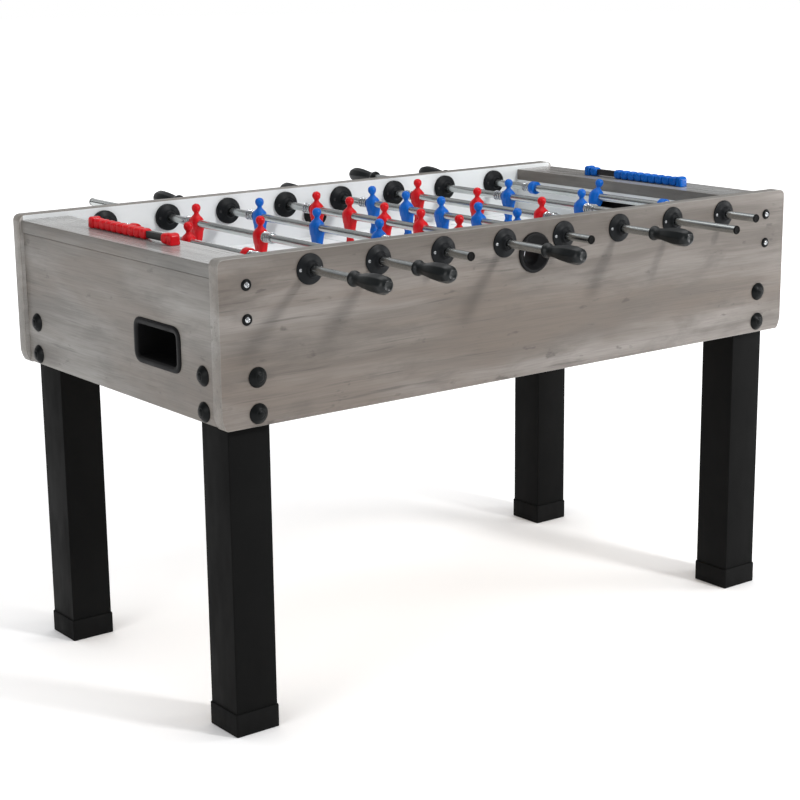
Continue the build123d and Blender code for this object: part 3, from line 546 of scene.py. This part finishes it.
class Piece:
    """One named piece of the model, gathered from separate forms in millimetres."""

    def __init__(self, name, *materials):
        self.name = name
        self.materials = materials
        self.mesh = bmesh.new()

    def rings(self, rings, where=None, mat=0, caps=(True, True)):
        """A skin over rings of equal length; its ends are closed with flat faces."""
        where = where or Matrix.Identity(4)
        made = [[self.mesh.verts.new(where @ Vector(p)) for p in ring] for ring in rings]
        for low, high in zip(made, made[1:]):
            for n in range(len(low)):
                face = self.mesh.faces.new((low[n - 1], low[n], high[n], high[n - 1]))
                face.material_index = mat
                face.smooth = True
        for wanted, ring in zip(caps, (made[0], made[-1])):
            if wanted:
                face = self.mesh.faces.new(ring)
                face.material_index = mat

    def lathe(self, profile, where, count=40, shape=None, caps=(True, True)):
        """A turned form about Y from (radius, y); shape may scale the radius by (angle, y)."""
        rings = []
        for radius, y in profile:
            ring = []
            for n in range(count):
                t = 2 * math.pi * n / count
                r = radius * (shape(t, y) if shape else 1.0)
                ring.append((r * math.cos(t), y, r * math.sin(t)))
            rings.append(ring)
        self.rings(rings, where, caps=caps)

    def board(self, loop, low, high, to_space, holes=(), edge=0.8, mats=(0, 0, 0), where=None,
              steps=2):
        """A plate between low and high, with its edges rounded over edge in a number of steps.

        Each hole is its outline at low and at high; mats are the low face, high face and edges.
        """
        where = where or Matrix.Identity(4)
        arc = [math.pi / 2 * n / steps for n in range(steps + 1)]
        levels = [(1 - math.cos(t), 1 - math.sin(t)) for t in arc]
        levels = [(low + edge * a, edge * b) for a, b in levels] + [
            (high - edge * a, edge * b) for a, b in reversed(levels)
        ]
        ends = ([], [])
        for first, last, sign in [(loop, loop, 1)] + [(a, b, -1) for a, b in holes]:
            rings = []
            for height, amount in levels:
                t = (height - low) / (high - low)
                even = [
                    (a[0] * (1 - t) + b[0] * t, a[1] * (1 - t) + b[1] * t)
                    for a, b in zip(first, last)
                ]
                flat = [Vector(to_space(u, v, height)) for u, v in inset(even, amount * sign)]
                rings.append([self.mesh.verts.new(where @ spot) for spot in flat])
            for one, two in zip(rings, rings[1:]):
                for n in range(len(one)):
                    face = self.mesh.faces.new((one[n - 1], one[n], two[n], two[n - 1]))
                    face.material_index = mats[2]
                    face.smooth = True
            for end, ring in zip(ends, (rings[0], rings[-1])):
                end += [self.mesh.edges.get((ring[n - 1], ring[n])) for n in range(len(ring))]
        for edges, mat in zip(ends, mats):
            filled = bmesh.ops.triangle_fill(self.mesh, edges=edges, use_beauty=True)
            for face in filled["geom"]:
                if isinstance(face, bmesh.types.BMFace):
                    face.material_index = mat
                    face.smooth = False

    def wire(self, path, radius, where, sides=10):
        """A round wire along a path of points."""
        points = [Vector(p) for p in path]
        rings = []
        for n, here in enumerate(points):
            ahead = points[min(n + 1, len(points) - 1)] - points[max(n - 1, 0)]
            ahead.normalize()
            out = Vector((here.x, 0, here.z)).normalized()
            out = (out - ahead * out.dot(ahead)).normalized()
            side = ahead.cross(out)
            angles = [2 * math.pi * k / sides for k in range(sides)]
            rings.append([here + (out * math.cos(t) + side * math.sin(t)) * radius for t in angles])
        self.rings(rings, where)

    def make(self, body, slot, *stands_for, sharp=40.0):
        """The finished object: riding on its body and standing for its CAD nodes."""
        mesh = self.mesh
        bmesh.ops.scale(mesh, vec=(MM, MM, MM), verts=mesh.verts)
        bmesh.ops.recalc_face_normals(mesh, faces=mesh.faces)
        for edge in mesh.edges:
            if len(edge.link_faces) == 2 and edge.calc_face_angle(0.0) > math.radians(sharp):
                edge.smooth = False
        made = mesh_object(self.name, mesh, self.materials)
        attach(made, body)
        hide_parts(*stands_for)


def finish_cad(node, material):
    """A CAD node that stays gets its material."""
    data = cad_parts[node].data
    data.materials.clear()
    data.materials.append(material)


def along_y(u, v, w):
    return (u, w, v)


def along_x(u, v, w):
    return (w, u, v)


def along_z(u, v, w):
    return (u, v, w)


# ---------------------------------------------------------------- cabinet
def side_board(name, side):
    """A long side board with its rod holes and the ball inlet's hole."""
    sweep = []
    for n in range(9):
        drop = FOOT_DROP * (1 - n / 8)
        reach = HALF_LENGTH - FOOT_ARC + math.sqrt(FOOT_ARC ** 2 - drop ** 2)
        sweep.append((reach, SIDE_BOTTOM + FOOT_DROP - drop, 4.0 if n == 0 else 0.0))
    top = [(HALF_LENGTH, TABLE_TOP, SIDE_TOP_RADIUS), (-HALF_LENGTH, TABLE_TOP, SIDE_TOP_RADIUS)]
    mirrored = [(-x, z, cut) for x, z, cut in reversed(sweep)]
    outline = rounded(sweep + top + mirrored, 8, closed=True)
    wide = circle(INLET_DISH_RADIUS, 0, INLET_HEIGHT)
    narrow = circle(INLET_RING_RADIUS, 0, INLET_HEIGHT - INLET_DROP)
    holes = [(wide, narrow) if side < 0 else (narrow, wide)]
    for x in ROD_XS:
        hole = circle(ROD_HOLE_RADIUS, x, ROD_HEIGHT, 28)
        holes.append((hole, hole))
    low, high = sorted((side * INNER_Y, side * HALF_WIDTH))
    faces = (0, 1) if side < 0 else (1, 0)
    piece = Piece(name, SIDE_OAK, INNER_FACE, BAND)
    piece.board(outline, low, high, along_y, holes, 1.2, (*faces, 2))
    piece.make("cabinet", "laminate", f"side_panel_{name.split('_')[-1]}")


def end_board(name, side):
    """An end board with the opening of its return cup."""
    middle = -side * CUP_Y
    half_y, half_z = CUP_OPENING
    hole = rectangle(
        middle - half_y, middle + half_y, CUP_Z - half_z, CUP_Z + half_z, CUP_OPENING_CORNER)
    low, high = sorted((side * END_INNER_X, side * END_OUTER_X))
    faces = (0, 1) if side < 0 else (1, 0)
    outline = rectangle(-INNER_Y, INNER_Y, BOX_BOTTOM, CAP_BOTTOM - JOINT_LINE)
    # The inner face takes the near-black lining of painted shade.
    piece = Piece(name, END_OAK, PAINTED_SHADE_INSIDE)
    piece.board(outline, low, high, along_x, [(hole, hole)], 0.6, (*faces, 0))
    piece.make("cabinet", "laminate", name.replace("board", "panel"))


def shelves():
    """The two shelves that carry the counters."""
    for side, word in zip(SIDES, ("left", "right")):
        low, high = sorted((side * CAP_INNER_X, side * CAP_OUTER_X))
        # Undersides in the end boards' oak, tops in the oak lightened as painted sheen, edges in
        # their own tone.
        piece = Piece(f"shelf_{word}", END_OAK, SHELF_OAK_PAINTED_SHEEN, SHELF_EDGE)
        outline = rectangle(low, high, -INNER_Y, INNER_Y, 0.0)
        piece.board(outline, CAP_BOTTOM, CAP_TOP, along_z, (), 1.6, (0, 1, 2))
        piece.make("cabinet", "laminate", "cap_boards")


def goal_boards():
    """The two white walls behind the goal lines, open at the mouth."""
    for side, word in zip(SIDES, ("left", "right")):
        low, high = sorted((side * CAP_INNER_X, side * GOAL_WALL_BACK))
        mouth = rectangle(-GOAL_HALF_WIDTH, GOAL_HALF_WIDTH, FIELD_TOP, GOAL_TOP, 3.0)
        outline = rectangle(-INNER_Y, INNER_Y, GOAL_WALL_BOTTOM, CAP_BOTTOM)
        faces = (1, 0) if side < 0 else (0, 1)
        # The back, facing into the closed end, takes the near-black lining of painted shade.
        piece = Piece(f"goal_board_{word}", WHITE, PAINTED_SHADE_INSIDE)
        piece.board(outline, low, high, along_x, [(mouth, mouth)], 0.6, (*faces, 0))
        piece.make("cabinet", "white_board", "goal_walls")


def field_board():
    """The playing field, let into the boards around it."""
    piece = Piece("field_board", RAW, FIELD)
    reach_x, reach_y = CAP_INNER_X + FIELD_LET_IN, INNER_Y + FIELD_LET_IN
    outline = rectangle(-reach_x, reach_x, -reach_y, reach_y)
    piece.board(outline, FIELD_BOTTOM, FIELD_TOP, along_z, (), 0.3, (0, 1, 0))
    piece.make("cabinet", "white_board", "playfield")


def legs():
    """Four square legs and their rubber feet."""
    for number, (sx, sy) in enumerate(CORNERS, 1):
        x, y = sx * LEG_X, sy * LEG_Y
        outline = rectangle(x - LEG_HALF, x + LEG_HALF, y - LEG_HALF, y + LEG_HALF, 2.2)
        room = rectangle(x - LEG_ROOM, x + LEG_ROOM, y - LEG_ROOM, y + LEG_ROOM, 1.0)
        leg = Piece(f"leg_{number}", LEG_BLACK)
        leg.board(outline, LEG_BOTTOM, LEG_TOP, along_z, [(room, room)], 0.8)
        leg.make("cabinet", "leg_black", "legs")
        foot = Piece(f"foot_{number}", RUBBER)
        outline = rectangle(x - FOOT_HALF, x + FOOT_HALF, y - FOOT_HALF, y + FOOT_HALF, 4.0, 5)
        foot.board(outline, 0.0, FOOT_HEIGHT, along_z, (), 2.0)
        foot.make("cabinet", "rubber", "foot_caps")


def cross_recess(reach, half_width, depth):
    """How far a screw head's top is sunk at (angle, radius) by its cross recess."""
    def sunk(t, radius):
        u, v = abs(radius * math.cos(t)), abs(radius * math.sin(t))
        near, far = min(u, v), max(u, v)
        if near < half_width and far < reach:
            return depth * (1 - 0.55 * far / reach)
        return 0.0
    return sunk


def screw_head(piece, where, size, mat=0, count=32):
    """A domed head from y=foot, inside its hole, to y=-rise, with a cross recess."""
    radius, rise, foot = size
    sunk = cross_recess(radius * 0.62, radius * 0.13, rise * 0.55)
    rings = [[(radius * math.cos(t), foot, radius * math.sin(t)) for t in turns(count)]]
    for part in (1.0, 0.995, 0.96, 0.88, 0.76, 0.66, 0.58, 0.46, 0.34, 0.24, 0.16, 0.08):
        r = radius * part
        height = rise * math.sqrt(max(0.0, 1 - (r / radius) ** 2)) ** 0.9
        rings.append([
            (r * math.cos(t), -height + sunk(t, r), r * math.sin(t)) for t in turns(count)
        ])
    piece.rings(rings, where, mat)


def bolt_caps():
    """Domed black caps over the leg bolts, each with a ring-shaped crease."""
    for word, on_side in (("side", True), ("end", False)):
        piece = Piece(f"bolt_caps_{word}", CAP_BLACK)
        profile = [(CAP_RADIUS - 0.6, 0.0), (CAP_RADIUS, -0.5), (CAP_RADIUS, -CAP_WALL)]
        for n in range(1, 33):
            t = n / 32 * math.pi / 2
            radius = CAP_RADIUS * math.cos(t) + 0.02
            rise = CAP_WALL + (CAP_RISE - CAP_WALL) * (1 - (radius / CAP_RADIUS) ** 2)
            crease = CAP_CREASE_DEPTH * bell(radius, CAP_CREASE_RADIUS, 1.0)
            profile.append((radius, crease - rise))
        for sx, sy in CORNERS:
            for z in BOLT_HEIGHTS:
                if on_side:
                    where = place(sx * BOLT_X, sy * HALF_WIDTH, z, 0 if sy < 0 else 180)
                else:
                    where = place(sx * END_OUTER_X, sy * BOLT_Y, z, -90 if sx < 0 else 90)
                piece.lathe(profile, where)
        piece.make("cabinet", "black_plastic", "bolt_caps")


def panel_screws():
    """Small domed screws in black cup washers near the ends of the side boards."""
    cups = Piece("screw_cups", CAP_BLACK)
    heads = Piece("panel_screw_heads", CHROME)
    profile = rounded([
        (5.9, 0.0, 0), (10.5, 0.0, 0.3), (10.5, -1.0, 0.6), (8.0, -3.5, 0.8),
        (6.3, -3.5, 0.5), (5.9, -2.0, 0),
    ], 3)
    for sx, sy in CORNERS:
        for z in SCREW_HEIGHTS:
            where = place(sx * SCREW_X, sy * HALF_WIDTH, z, 0 if sy < 0 else 180)
            cups.lathe(profile, where, caps=(False, False))
            screw_head(heads, where @ Matrix.Translation((0, -1.0, 0)), PANEL_SCREW)
    cups.make("cabinet", "black_plastic", "bolt_caps")
    heads.make("cabinet", "chrome", "panel_screws")


def return_cup(name, side):
    """A moulded rounded rectangular cup with a raised rim, as rings of (growth, depth)."""
    turn = 0 if side < 0 else 180
    rows = [
        (13.0, 0.2), (13.2, -0.8), (12.4, -2.6), (10.4, -3.7), (7.5, -4.0), (4.0, -3.8),
        (1.6, -2.8), (0.4, -1.0), (0.0, 2.0), (0.0, 40.0), (-0.6, 80.0), (-2.4, 83.4),
        (-6.0, 84.6), (-20.0, 84.9),
    ]
    rings = []
    for grow, depth in rows:
        half_u, half_v = (half + grow for half in CUP_MOULD)
        cut = max(3.0, 10.0 + grow * 1.15)
        loop = rectangle(CUP_Y - half_u, CUP_Y + half_u, CUP_Z - half_v, CUP_Z + half_v, cut, 7)
        rings.append([(-END_OUTER_X + depth, u, v) for u, v in loop])
    piece = Piece(name, CUP_BLACK)
    piece.rings(rings, place(turn=turn), caps=(False, True))
    piece.make("cabinet", "black_plastic", "return_cups")


def ball_inlet(name, side):
    """The dish outside, its bore and the ring that stands into the field.

    The rows are (radius, depth from the outside, shift of the centre up).
    """
    rows = [
        (39.3, 0.0, 0.0), (39.5, -1.2, 0.0), (38.9, -3.2, 0.0), (37.2, -4.6, 0.0),
        (35.2, -5.0, 0.0), (33.8, -4.4, 0.0), (32.6, -2.8, 0.0), (30.2, -0.6, -0.8),
        (26.4, 2.8, -2.8), (22.4, 5.6, -4.6), (19.6, 7.4, -5.7), (18.6, 8.8, -6.0),
        (18.4, 11.0, -6.0), (18.0, 46.4, -6.0), (18.6, 47.6, -5.8), (20.2, 48.0, -5.0),
        (23.0, 48.0, -3.4), (24.1, 47.4, -3.0), (24.5, 46.2, -3.0), (24.5, 28.0, -3.0),
    ]
    rings = [
        [(r * math.cos(t), y, INLET_HEIGHT + dz + r * math.sin(t)) for t in turns(56)]
        for r, y, dz in rows
    ]
    piece = Piece(name, CUP_BLACK)
    where = place(0, side * HALF_WIDTH, 0, 0 if side < 0 else 180)
    piece.rings(rings, where, caps=(False, False))
    piece.make("cabinet", "black_plastic", "ball_inlets")


# ---------------------------------------------------------------- flanges
def flange_profile(hub, rim):
    """Saucer with a rim, a shallow cone and a hub whose lip the rod leaves through."""
    return rounded([
        (9.2, 2.0, 0), (9.2, -hub, 0.6), (12.4, -hub, 1.2), (14.2, -rim - 5.0, 2.6),
        (18.0, -rim - 3.2, 3.0), (26.2, -rim - 0.8, 1.8), (FLANGE_RADIUS, -rim, 1.0),
        (FLANGE_RADIUS, 0.0, 0),
    ], 5)


def flanges():
    """An outer and an inner flange for each rod on each side board, and their screws."""
    for side, word in zip(SIDES, ("near", "far")):
        discs = Piece(f"flanges_{word}", FLANGE_BLACK)
        screws = Piece(f"flange_screw_heads_{word}", ZINC, ZINC_DARK)
        for x in ROD_XS:
            outside = place(x, side * HALF_WIDTH, ROD_HEIGHT, 0 if side < 0 else 180)
            inside = place(x, side * INNER_Y, ROD_HEIGHT, 180 if side < 0 else 0)
            for mat, where in enumerate((outside, inside)):
                hub, rim = FLANGE_HEIGHTS[mat]
                discs.lathe(flange_profile(hub, rim), where, count=56, caps=(False, False))
                for turn in SIDES:
                    spot = where @ Matrix.Translation((turn * FLANGE_SCREW_PITCH, -rim - 1.2, 0))
                    screw_head(screws, spot, FLANGE_SCREW, mat, 24)
        discs.make("cabinet", "black_plastic", "flanges")
        screws.make("cabinet", "zinc", "flange_screws")


# ---------------------------------------------------------------- rods
def man_rings():
    """The figure as horizontal rings: feet, legs, bell-shaped trunk with arms, neck and egg head.

    The rows are (height, half width, reach to the front, reach to the back, power of the section).
    """
    rows = [
        (-66.0, 9.0, 8.4, 5.4, 3.6), (-65.2, 9.8, 9.2, 6.2, 3.6), (-62.0, 10.0, 9.5, 6.4, 3.4),
        (-57.0, 9.8, 9.0, 6.2, 3.2), (-52.0, 8.8, 6.6, 5.6, 3.0), (-48.0, 8.4, 5.6, 5.5, 3.0),
        (-43.0, 9.6, 6.4, 6.3, 3.1), (-37.0, 11.3, 7.8, 7.7, 3.3), (-29.0, 12.6, 9.0, 8.8, 3.5),
        (-20.0, 13.8, 10.0, 9.8, 3.6), (-16.5, 14.2, 10.4, 10.2, 3.6),
        (-15.0, 14.8, 11.0, 10.8, 3.6),
        (-8.0, 15.6, 12.2, 12.0, 3.5), (0.0, 16.0, 13.0, 12.8, 3.4), (5.0, 15.8, 12.6, 12.4, 3.2),
        (9.5, 14.4, 11.0, 10.8, 2.9), (13.0, 11.8, 8.8, 8.8, 2.5), (16.0, 8.4, 6.6, 6.6, 2.2),
        (18.5, 5.9, 5.2, 5.2, 2.0), (20.5, 5.0, 4.7, 4.7, 2.0), (22.2, 5.4, 5.4, 5.3, 2.0),
        (24.4, 7.0, 7.3, 7.1, 2.0), (27.8, 8.4, 8.9, 8.7, 2.0), (31.5, 8.8, 9.3, 9.3, 2.0),
        (35.0, 8.0, 8.4, 8.5, 2.0), (38.0, 5.8, 6.1, 6.2, 2.0), (39.4, 3.4, 3.6, 3.6, 2.0),
        (40.0, 1.1, 1.1, 1.1, 2.0),
    ]
    rings = []
    for z, half, front, back, power in smooth_rows(rows, 92):
        ring = []
        for t in turns(48):
            c, s = math.cos(t), math.sin(t)
            x = math.copysign(abs(c) ** (2 / power), c) * (front if c > 0 else back)
            y = math.copysign(abs(s) ** (2 / power), s) * half
            legs_apart = bell(y, 0.0, 1.7) * window(z, -60.0, -17.0, 10.0) * 1.4
            arms_apart = bell(abs(y), 0.62 * half, 1.6) * window(z, -12.0, 9.0, 7.0) * 1.3
            x -= math.copysign(min(legs_apart + arms_apart, 0.5 * abs(x)), x)
            ring.append((x, y, z))
        rings.append(ring)
    return rings


MAN_RINGS = man_rings()
# The handle as (distance from its collar end, radius); the last two rows close the dimpled end.
HANDLE_ROWS = [
    (0.0, 11.4), (0.6, 12.8), (2.0, 14.0), (5.0, 14.35), (8.0, 13.7), (11.0, 12.2), (15.0, 11.0),
    (19.0, 10.9), (24.0, 11.4), (33.0, 12.9), (44.0, 14.8), (55.0, 16.3), (65.0, 17.1),
    (76.0, 17.4), (84.5, 17.1), (90.3, 16.1), (94.2, 14.7), (97.6, 12.6), (99.9, 10.4),
    (100.7, 9.2), (100.95, 8.2), (100.3, 7.4), (100.1, 0.5),
]


def facets(t, y):
    """Eight flats along the swelling part of the handle, about as deep as a regular octagon."""
    eighth = math.pi / 4
    off = (t % eighth) - eighth / 2
    flat = math.cos(eighth / 2) / math.cos(off)
    amount = window(-y, 25.0, 95.0, 13.0) * 0.9
    return 1.0 + amount * (flat - 1.0)


def stop_set(piece, where):
    """Washer, coil spring and washer, from y=0 towards +Y."""
    washer = rounded([
        (8.15, 0.1, 0.2), (WASHER_RADIUS, 0.0, 0.4),
        (WASHER_RADIUS, WASHER_THICKNESS, 0.4), (8.15, WASHER_THICKNESS, 0.2),
    ], 3)
    for start in (0.0, WASHER_THICKNESS + SPRING_LENGTH):
        profile = [(r, y + start) for r, y in washer]
        piece.lathe(profile + profile[:1], where, count=36, caps=(False, False))
    steps = int(SPRING_COILS * 30)
    flat_part = 0.35
    path = []
    for n in range(steps + 1):
        coil = n / steps * SPRING_COILS
        climb = min(1.0, max(0.0, (coil - flat_part) / (SPRING_COILS - 2 * flat_part)))
        y = WASHER_THICKNESS + SPRING_WIRE + (SPRING_LENGTH - 2 * SPRING_WIRE) * climb
        t = 2 * math.pi * coil
        path.append((SPRING_RADIUS * math.cos(t), y, SPRING_RADIUS * math.sin(t)))
    piece.wire(path, SPRING_WIRE, where)


def rod(index):
    """One rod: steel tube, springs, figures, handle and end plug."""
    kind, team, shift, lean = RODS[index]
    number = f"rod_{index + 1}"
    where = place(ROD_XS[index], shift, ROD_HEIGHT) @ Matrix.Rotation(math.radians(lean), 4, "Y")
    where = where @ place(turn=0 if team == RED else 180)
    start, bare = HANDLE_START[kind], BARE_END[kind]

    shaft = Piece(f"{number}_shaft", STEEL)
    lengths = [-start - HANDLE_SOCKET, -start, -300.0, 0.0, 300.0, bare - PLUG_LENGTH]
    shaft.lathe([(ROD_RADIUS, y) for y in lengths], where, count=48)
    shaft.make(number, "chrome", f"{number}_tube")

    springs = Piece(f"{number}_springs", CHROME)
    outermost = max(MEN[kind]) + MAN_HALF_WIDTH
    if kind == ONE:
        outermost = STOP_POSITION + STOP_HALF_LENGTH
    for turn in (0, 180):
        stop_set(springs, where @ place(turn=turn) @ Matrix.Translation((0, outermost, 0)))
    springs.make(number, "chrome", f"{number}_tube")

    men = Piece(f"{number}_figures", TEAM[team])
    for y in MEN[kind]:
        men.rings(MAN_RINGS, where @ Matrix.Translation((0, y, 0)))
    if kind == ONE:
        profile = rounded([
            (8.1, -STOP_HALF_LENGTH, 0.3), (STOP_RADIUS, -STOP_HALF_LENGTH, 1.8),
            (STOP_RADIUS, STOP_HALF_LENGTH, 1.8), (8.1, STOP_HALF_LENGTH, 0.3),
        ], 5)
        for turn in SIDES:
            spot = where @ Matrix.Translation((0, turn * STOP_POSITION, 0))
            men.lathe(profile + profile[:1], spot, count=48, caps=(False, False))
    men.make(number, f"{team}_plastic", f"{number}_players_{team}", sharp=60.0)

    grip = Piece(f"{number}_handle", GRIP_BLACK)
    rows = smooth_rows(HANDLE_ROWS[:-2], 96) + HANDLE_ROWS[-2:]
    grip.lathe([(radius, -start - y) for y, radius in rows], where, count=64,
               shape=lambda t, y: facets(t, y + start))
    grip.make(number, "grip_black", f"{number}_grip", sharp=60.0)

    cap = Piece(f"{number}_end_cap", RUBBER)
    profile = rounded([
        (7.9, bare - PLUG_LENGTH, 0.1), (PLUG_RADIUS, bare - PLUG_LENGTH, 0.4),
        (PLUG_RADIUS, bare, 2.3), (5.8, bare, 0.5), (5.2, bare - 0.8, 0.3), (0.3, bare - 0.8, 0),
    ], 4)
    cap.lathe(profile, where, count=40, caps=(False, True))
    cap.make(number, "grip_black", f"{number}_grip")
    finish_cad(f"{number}_bushes", NYLON)


# ---------------------------------------------------------------- score counters
def bead(piece, where):
    """A square bead; its ends are rounded so that neighbours leave notches above and below."""
    half, long = BEAD_SIZE / 2, BEAD_LENGTH / 2
    outline = rectangle(-long, long, -half, half, BEAD_CORNER, 8)
    piece.board(outline, -half, half, along_x, (), BEAD_EDGE, where=where, steps=7)


def counter(team):
    """Bar, end posts and ten beads; the scored bead is at -Y on the red one, at +Y on the blue."""
    end = -1 if team == RED else 1
    height = CAP_TOP + BEAD_LIFT + BEAD_SIZE / 2
    where = place(end * COUNTER_X, COUNTER_Y[team], height, 0 if end < 0 else 180)
    inner = COUNTER_LENGTH / 2 - POST_LENGTH
    foot = -BEAD_SIZE / 2 - BEAD_LIFT

    bar = Piece(f"counter_bar_{team}", BAR_BLACK)
    section = rectangle(-BAR_HALF_WIDTH, BAR_HALF_WIDTH, -BAR_HALF_HEIGHT, BAR_HALF_HEIGHT, 0.6)
    bar.board(section, -inner, inner, along_y, (), 0.1, where=where)
    bar.make("cabinet", "bar_black", "score_bars")

    posts = Piece(f"counter_posts_{team}", TEAM[team])
    for turn in SIDES:
        low, high = sorted((turn * inner, turn * COUNTER_LENGTH / 2))
        cuts = (POST_INNER_CORNER, POST_OUTER_CORNER)
        low_cut, high_cut = cuts if turn > 0 else reversed(cuts)
        half, top = POST_SIZE / 2, foot + POST_SIZE
        outline = rounded([
            (low, foot, POST_FOOT_CORNER), (high, foot, POST_FOOT_CORNER),
            (high, top, high_cut), (low, top, low_cut),
        ], 7, closed=True)
        posts.board(outline, -half, half, along_x, (), POST_EDGE, where=where, steps=6)
    posts.make("cabinet", f"{team}_plastic", f"score_posts_{team}")

    first = inner - BEAD_LENGTH / 2 - BEAD_GAP
    waiting = BEADS - 2
    groups = (
        ("beads", "waiting", [first - n * BEAD_LENGTH for n in range(waiting)]),
        ("bead", "next", [first - waiting * BEAD_LENGTH - BEAD_GAP]),
        ("bead", "scored", [-first]),
    )
    for noun, word, spots in groups:
        piece = Piece(f"counter_{noun}_{team}_{word}", TEAM[team])
        for spot in spots:
            bead(piece, where @ Matrix.Translation((0, spot, 0)))
        piece.make(f"{team}_{word}_{noun}", f"{team}_plastic", f"score_{noun}_{team}_{word}")


side_board("side_board_near", -1)
side_board("side_board_far", 1)
end_board("end_board_left", -1)
end_board("end_board_right", 1)
shelves()
goal_boards()
field_board()
legs()
bolt_caps()
panel_screws()
return_cup("return_cup_left", -1)
return_cup("return_cup_right", 1)
ball_inlet("ball_inlet_near", -1)
ball_inlet("ball_inlet_far", 1)
flanges()
for rod_index in range(len(RODS)):
    rod(rod_index)
counter(RED)
counter(BLUE)
finish_cad("base_board", RAW)
finish_cad("corner_blocks", RAW)
finish_cad("leg_bolts", ZINC)
finish_cad("ball_chutes", CUP_BLACK)


# ---------------------------------------------------------------- floor, light and camera
FLOOR_GLOW, FLOOR_RADIUS = 0.36, 40.0
DOME_POWER = 0.50
DOME_LEVELS = ((0.0, 0.06), (0.25, 0.16), (0.62, 0.88), (1.0, 1.20))
# Area lights: name, position, target, size and power.
LIGHTS = [
    ("overhead", (0.2, 0.3, 3.4), (0.0, 0.0, 0.6), (3.0, 2.2), 38.0),
    ("key", (1.37, -3.64, 2.74), (0.0, 0.0, 0.75), (0.50, 0.50), 106.0),
    ("right_fill", (3.2, -2.2, 1.3), (0.4, -0.3, 0.75), (1.2, 1.2), 44.0),
    ("back", (0.3, 4.6, 2.1), (0.0, 0.0, 0.85), (5.0, 1.3), 20.0),
    ("left_fill", (-4.2, -1.0, 1.8), (-0.4, 0.0, 0.7), (2.0, 2.0), 48.0),
]
# Camera: metres, radians, and a focal length in pixels of the 800-pixel frame.
CAMERA_PLACE = (-2.3435, -3.0245, 1.3872)
YAW, PITCH, ROLL = 0.652116, 0.237677, -0.010859
FOCAL_PIXELS, FRAME_PIXELS, SENSOR = 1846.46, 800.0, 36.0


def stage():
    """A pale floor that brightens into the white surroundings away from the table.

    Its glow fades where something stands close above it, as painted contact shadow under the legs
    and the table.
    """
    s = Shader("studio_floor")
    cloud = s.noise(s.place, 0.7, 3.0, 0.5)
    grey = s.ramp(cloud, [(0.3, (0.86, 0.86, 0.86)), (0.7, (0.88, 0.88, 0.88))])
    s.set(base_color=grey, roughness=0.75, specular_ior_level=0.25, emission_color=(1.0, 1.0, 1.0))
    away = s.node("ShaderNodeVectorMath", operation="LENGTH")
    s.feed(away.inputs[0], s.place)
    # Painted shadow: ambient occlusion dims the floor's glow near the feet and under the table.
    painted_shade_ao = s.node("ShaderNodeAmbientOcclusion", {"Distance": 0.30}, samples=12).outputs["AO"]
    glow = s.math("MULTIPLY", s.level(painted_shade_ao, 0.0, 1.0, 0.35, 1.0), FLOOR_GLOW)
    near = s.level(away.outputs["Value"], 1.0, 0.0, 1.2, 5.0)
    spread = s.math("SUBTRACT", 1.0, near)
    s.set(emission_strength=s.math("ADD", s.math("MULTIPLY", glow, near), spread))
    mesh = bmesh.new()
    bmesh.ops.create_circle(mesh, cap_ends=True, radius=FLOOR_RADIUS, segments=64)
    floor = mesh_object("studio_floor", mesh, [s.material])


def area_light(name, position, target, size, power):
    """A rectangular white lamp that faces its target."""
    data = bpy.data.lights.new(name, "AREA")
    data.shape = "RECTANGLE"
    data.size, data.size_y = size
    data.energy = power
    lamp = link_object(name, data)
    lamp.location = position
    aim = Vector(target) - Vector(position)
    lamp.rotation_euler = aim.to_track_quat("-Z", "Y").to_euler()


def world_light():
    """White to the camera; as light a soft dome, dark towards the horizon."""
    world = bpy.data.worlds.new("studio")
    bpy.context.scene.world = world
    world.use_nodes = True
    tree = world.node_tree
    tree.nodes.clear()
    kinds = (
        "OutputWorld", "Background", "Background", "TexCoord", "SeparateXYZ", "ValToRGB",
        "LightPath", "MixShader",
    )
    output, shown, lit, around, split, ramp, rays, mix = (
        tree.nodes.new(f"ShaderNode{kind}") for kind in kinds
    )
    shown.inputs["Color"].default_value = (1.0, 1.0, 1.0, 1.0)
    shown.inputs["Strength"].default_value = 1.0
    lit.inputs["Strength"].default_value = DOME_POWER
    fill_ramp(ramp.color_ramp, [(stop, (tone, tone, tone * 1.02)) for stop, tone in DOME_LEVELS])
    for source, target in (
        (around.outputs["Generated"], split.inputs["Vector"]),
        (split.outputs["Z"], ramp.inputs["Fac"]),
        (ramp.outputs["Color"], lit.inputs["Color"]),
        (rays.outputs["Is Camera Ray"], mix.inputs["Fac"]),
        (lit.outputs["Background"], mix.inputs[1]),
        (shown.outputs["Background"], mix.inputs[2]),
        (mix.outputs["Shader"], output.inputs["Surface"]),
    ):
        tree.links.new(source, target)


def camera():
    """The camera stands at the near left corner, a little above the table."""
    ahead = Vector((
        math.sin(YAW) * math.cos(PITCH), math.cos(YAW) * math.cos(PITCH), -math.sin(PITCH),
    ))
    right = Vector((math.cos(YAW), -math.sin(YAW), 0.0))
    up = right.cross(ahead)
    level = math.cos(ROLL) * right + math.sin(ROLL) * up
    upright = math.cos(ROLL) * up - math.sin(ROLL) * right
    data = bpy.data.cameras.new("camera")
    data.sensor_width = SENSOR
    data.lens = FOCAL_PIXELS / FRAME_PIXELS * SENSOR
    data.clip_end = 200.0
    shot = link_object("camera", data)
    turn = Matrix((level, upright, -ahead)).transposed().to_4x4()
    shot.matrix_world = Matrix.Translation(CAMERA_PLACE) @ turn
    bpy.context.scene.camera = shot


stage()
world_light()
for light in LIGHTS:
    area_light(*light)
camera()
settings = bpy.context.scene.view_settings
settings.view_transform = "Standard"
settings.look = "None"
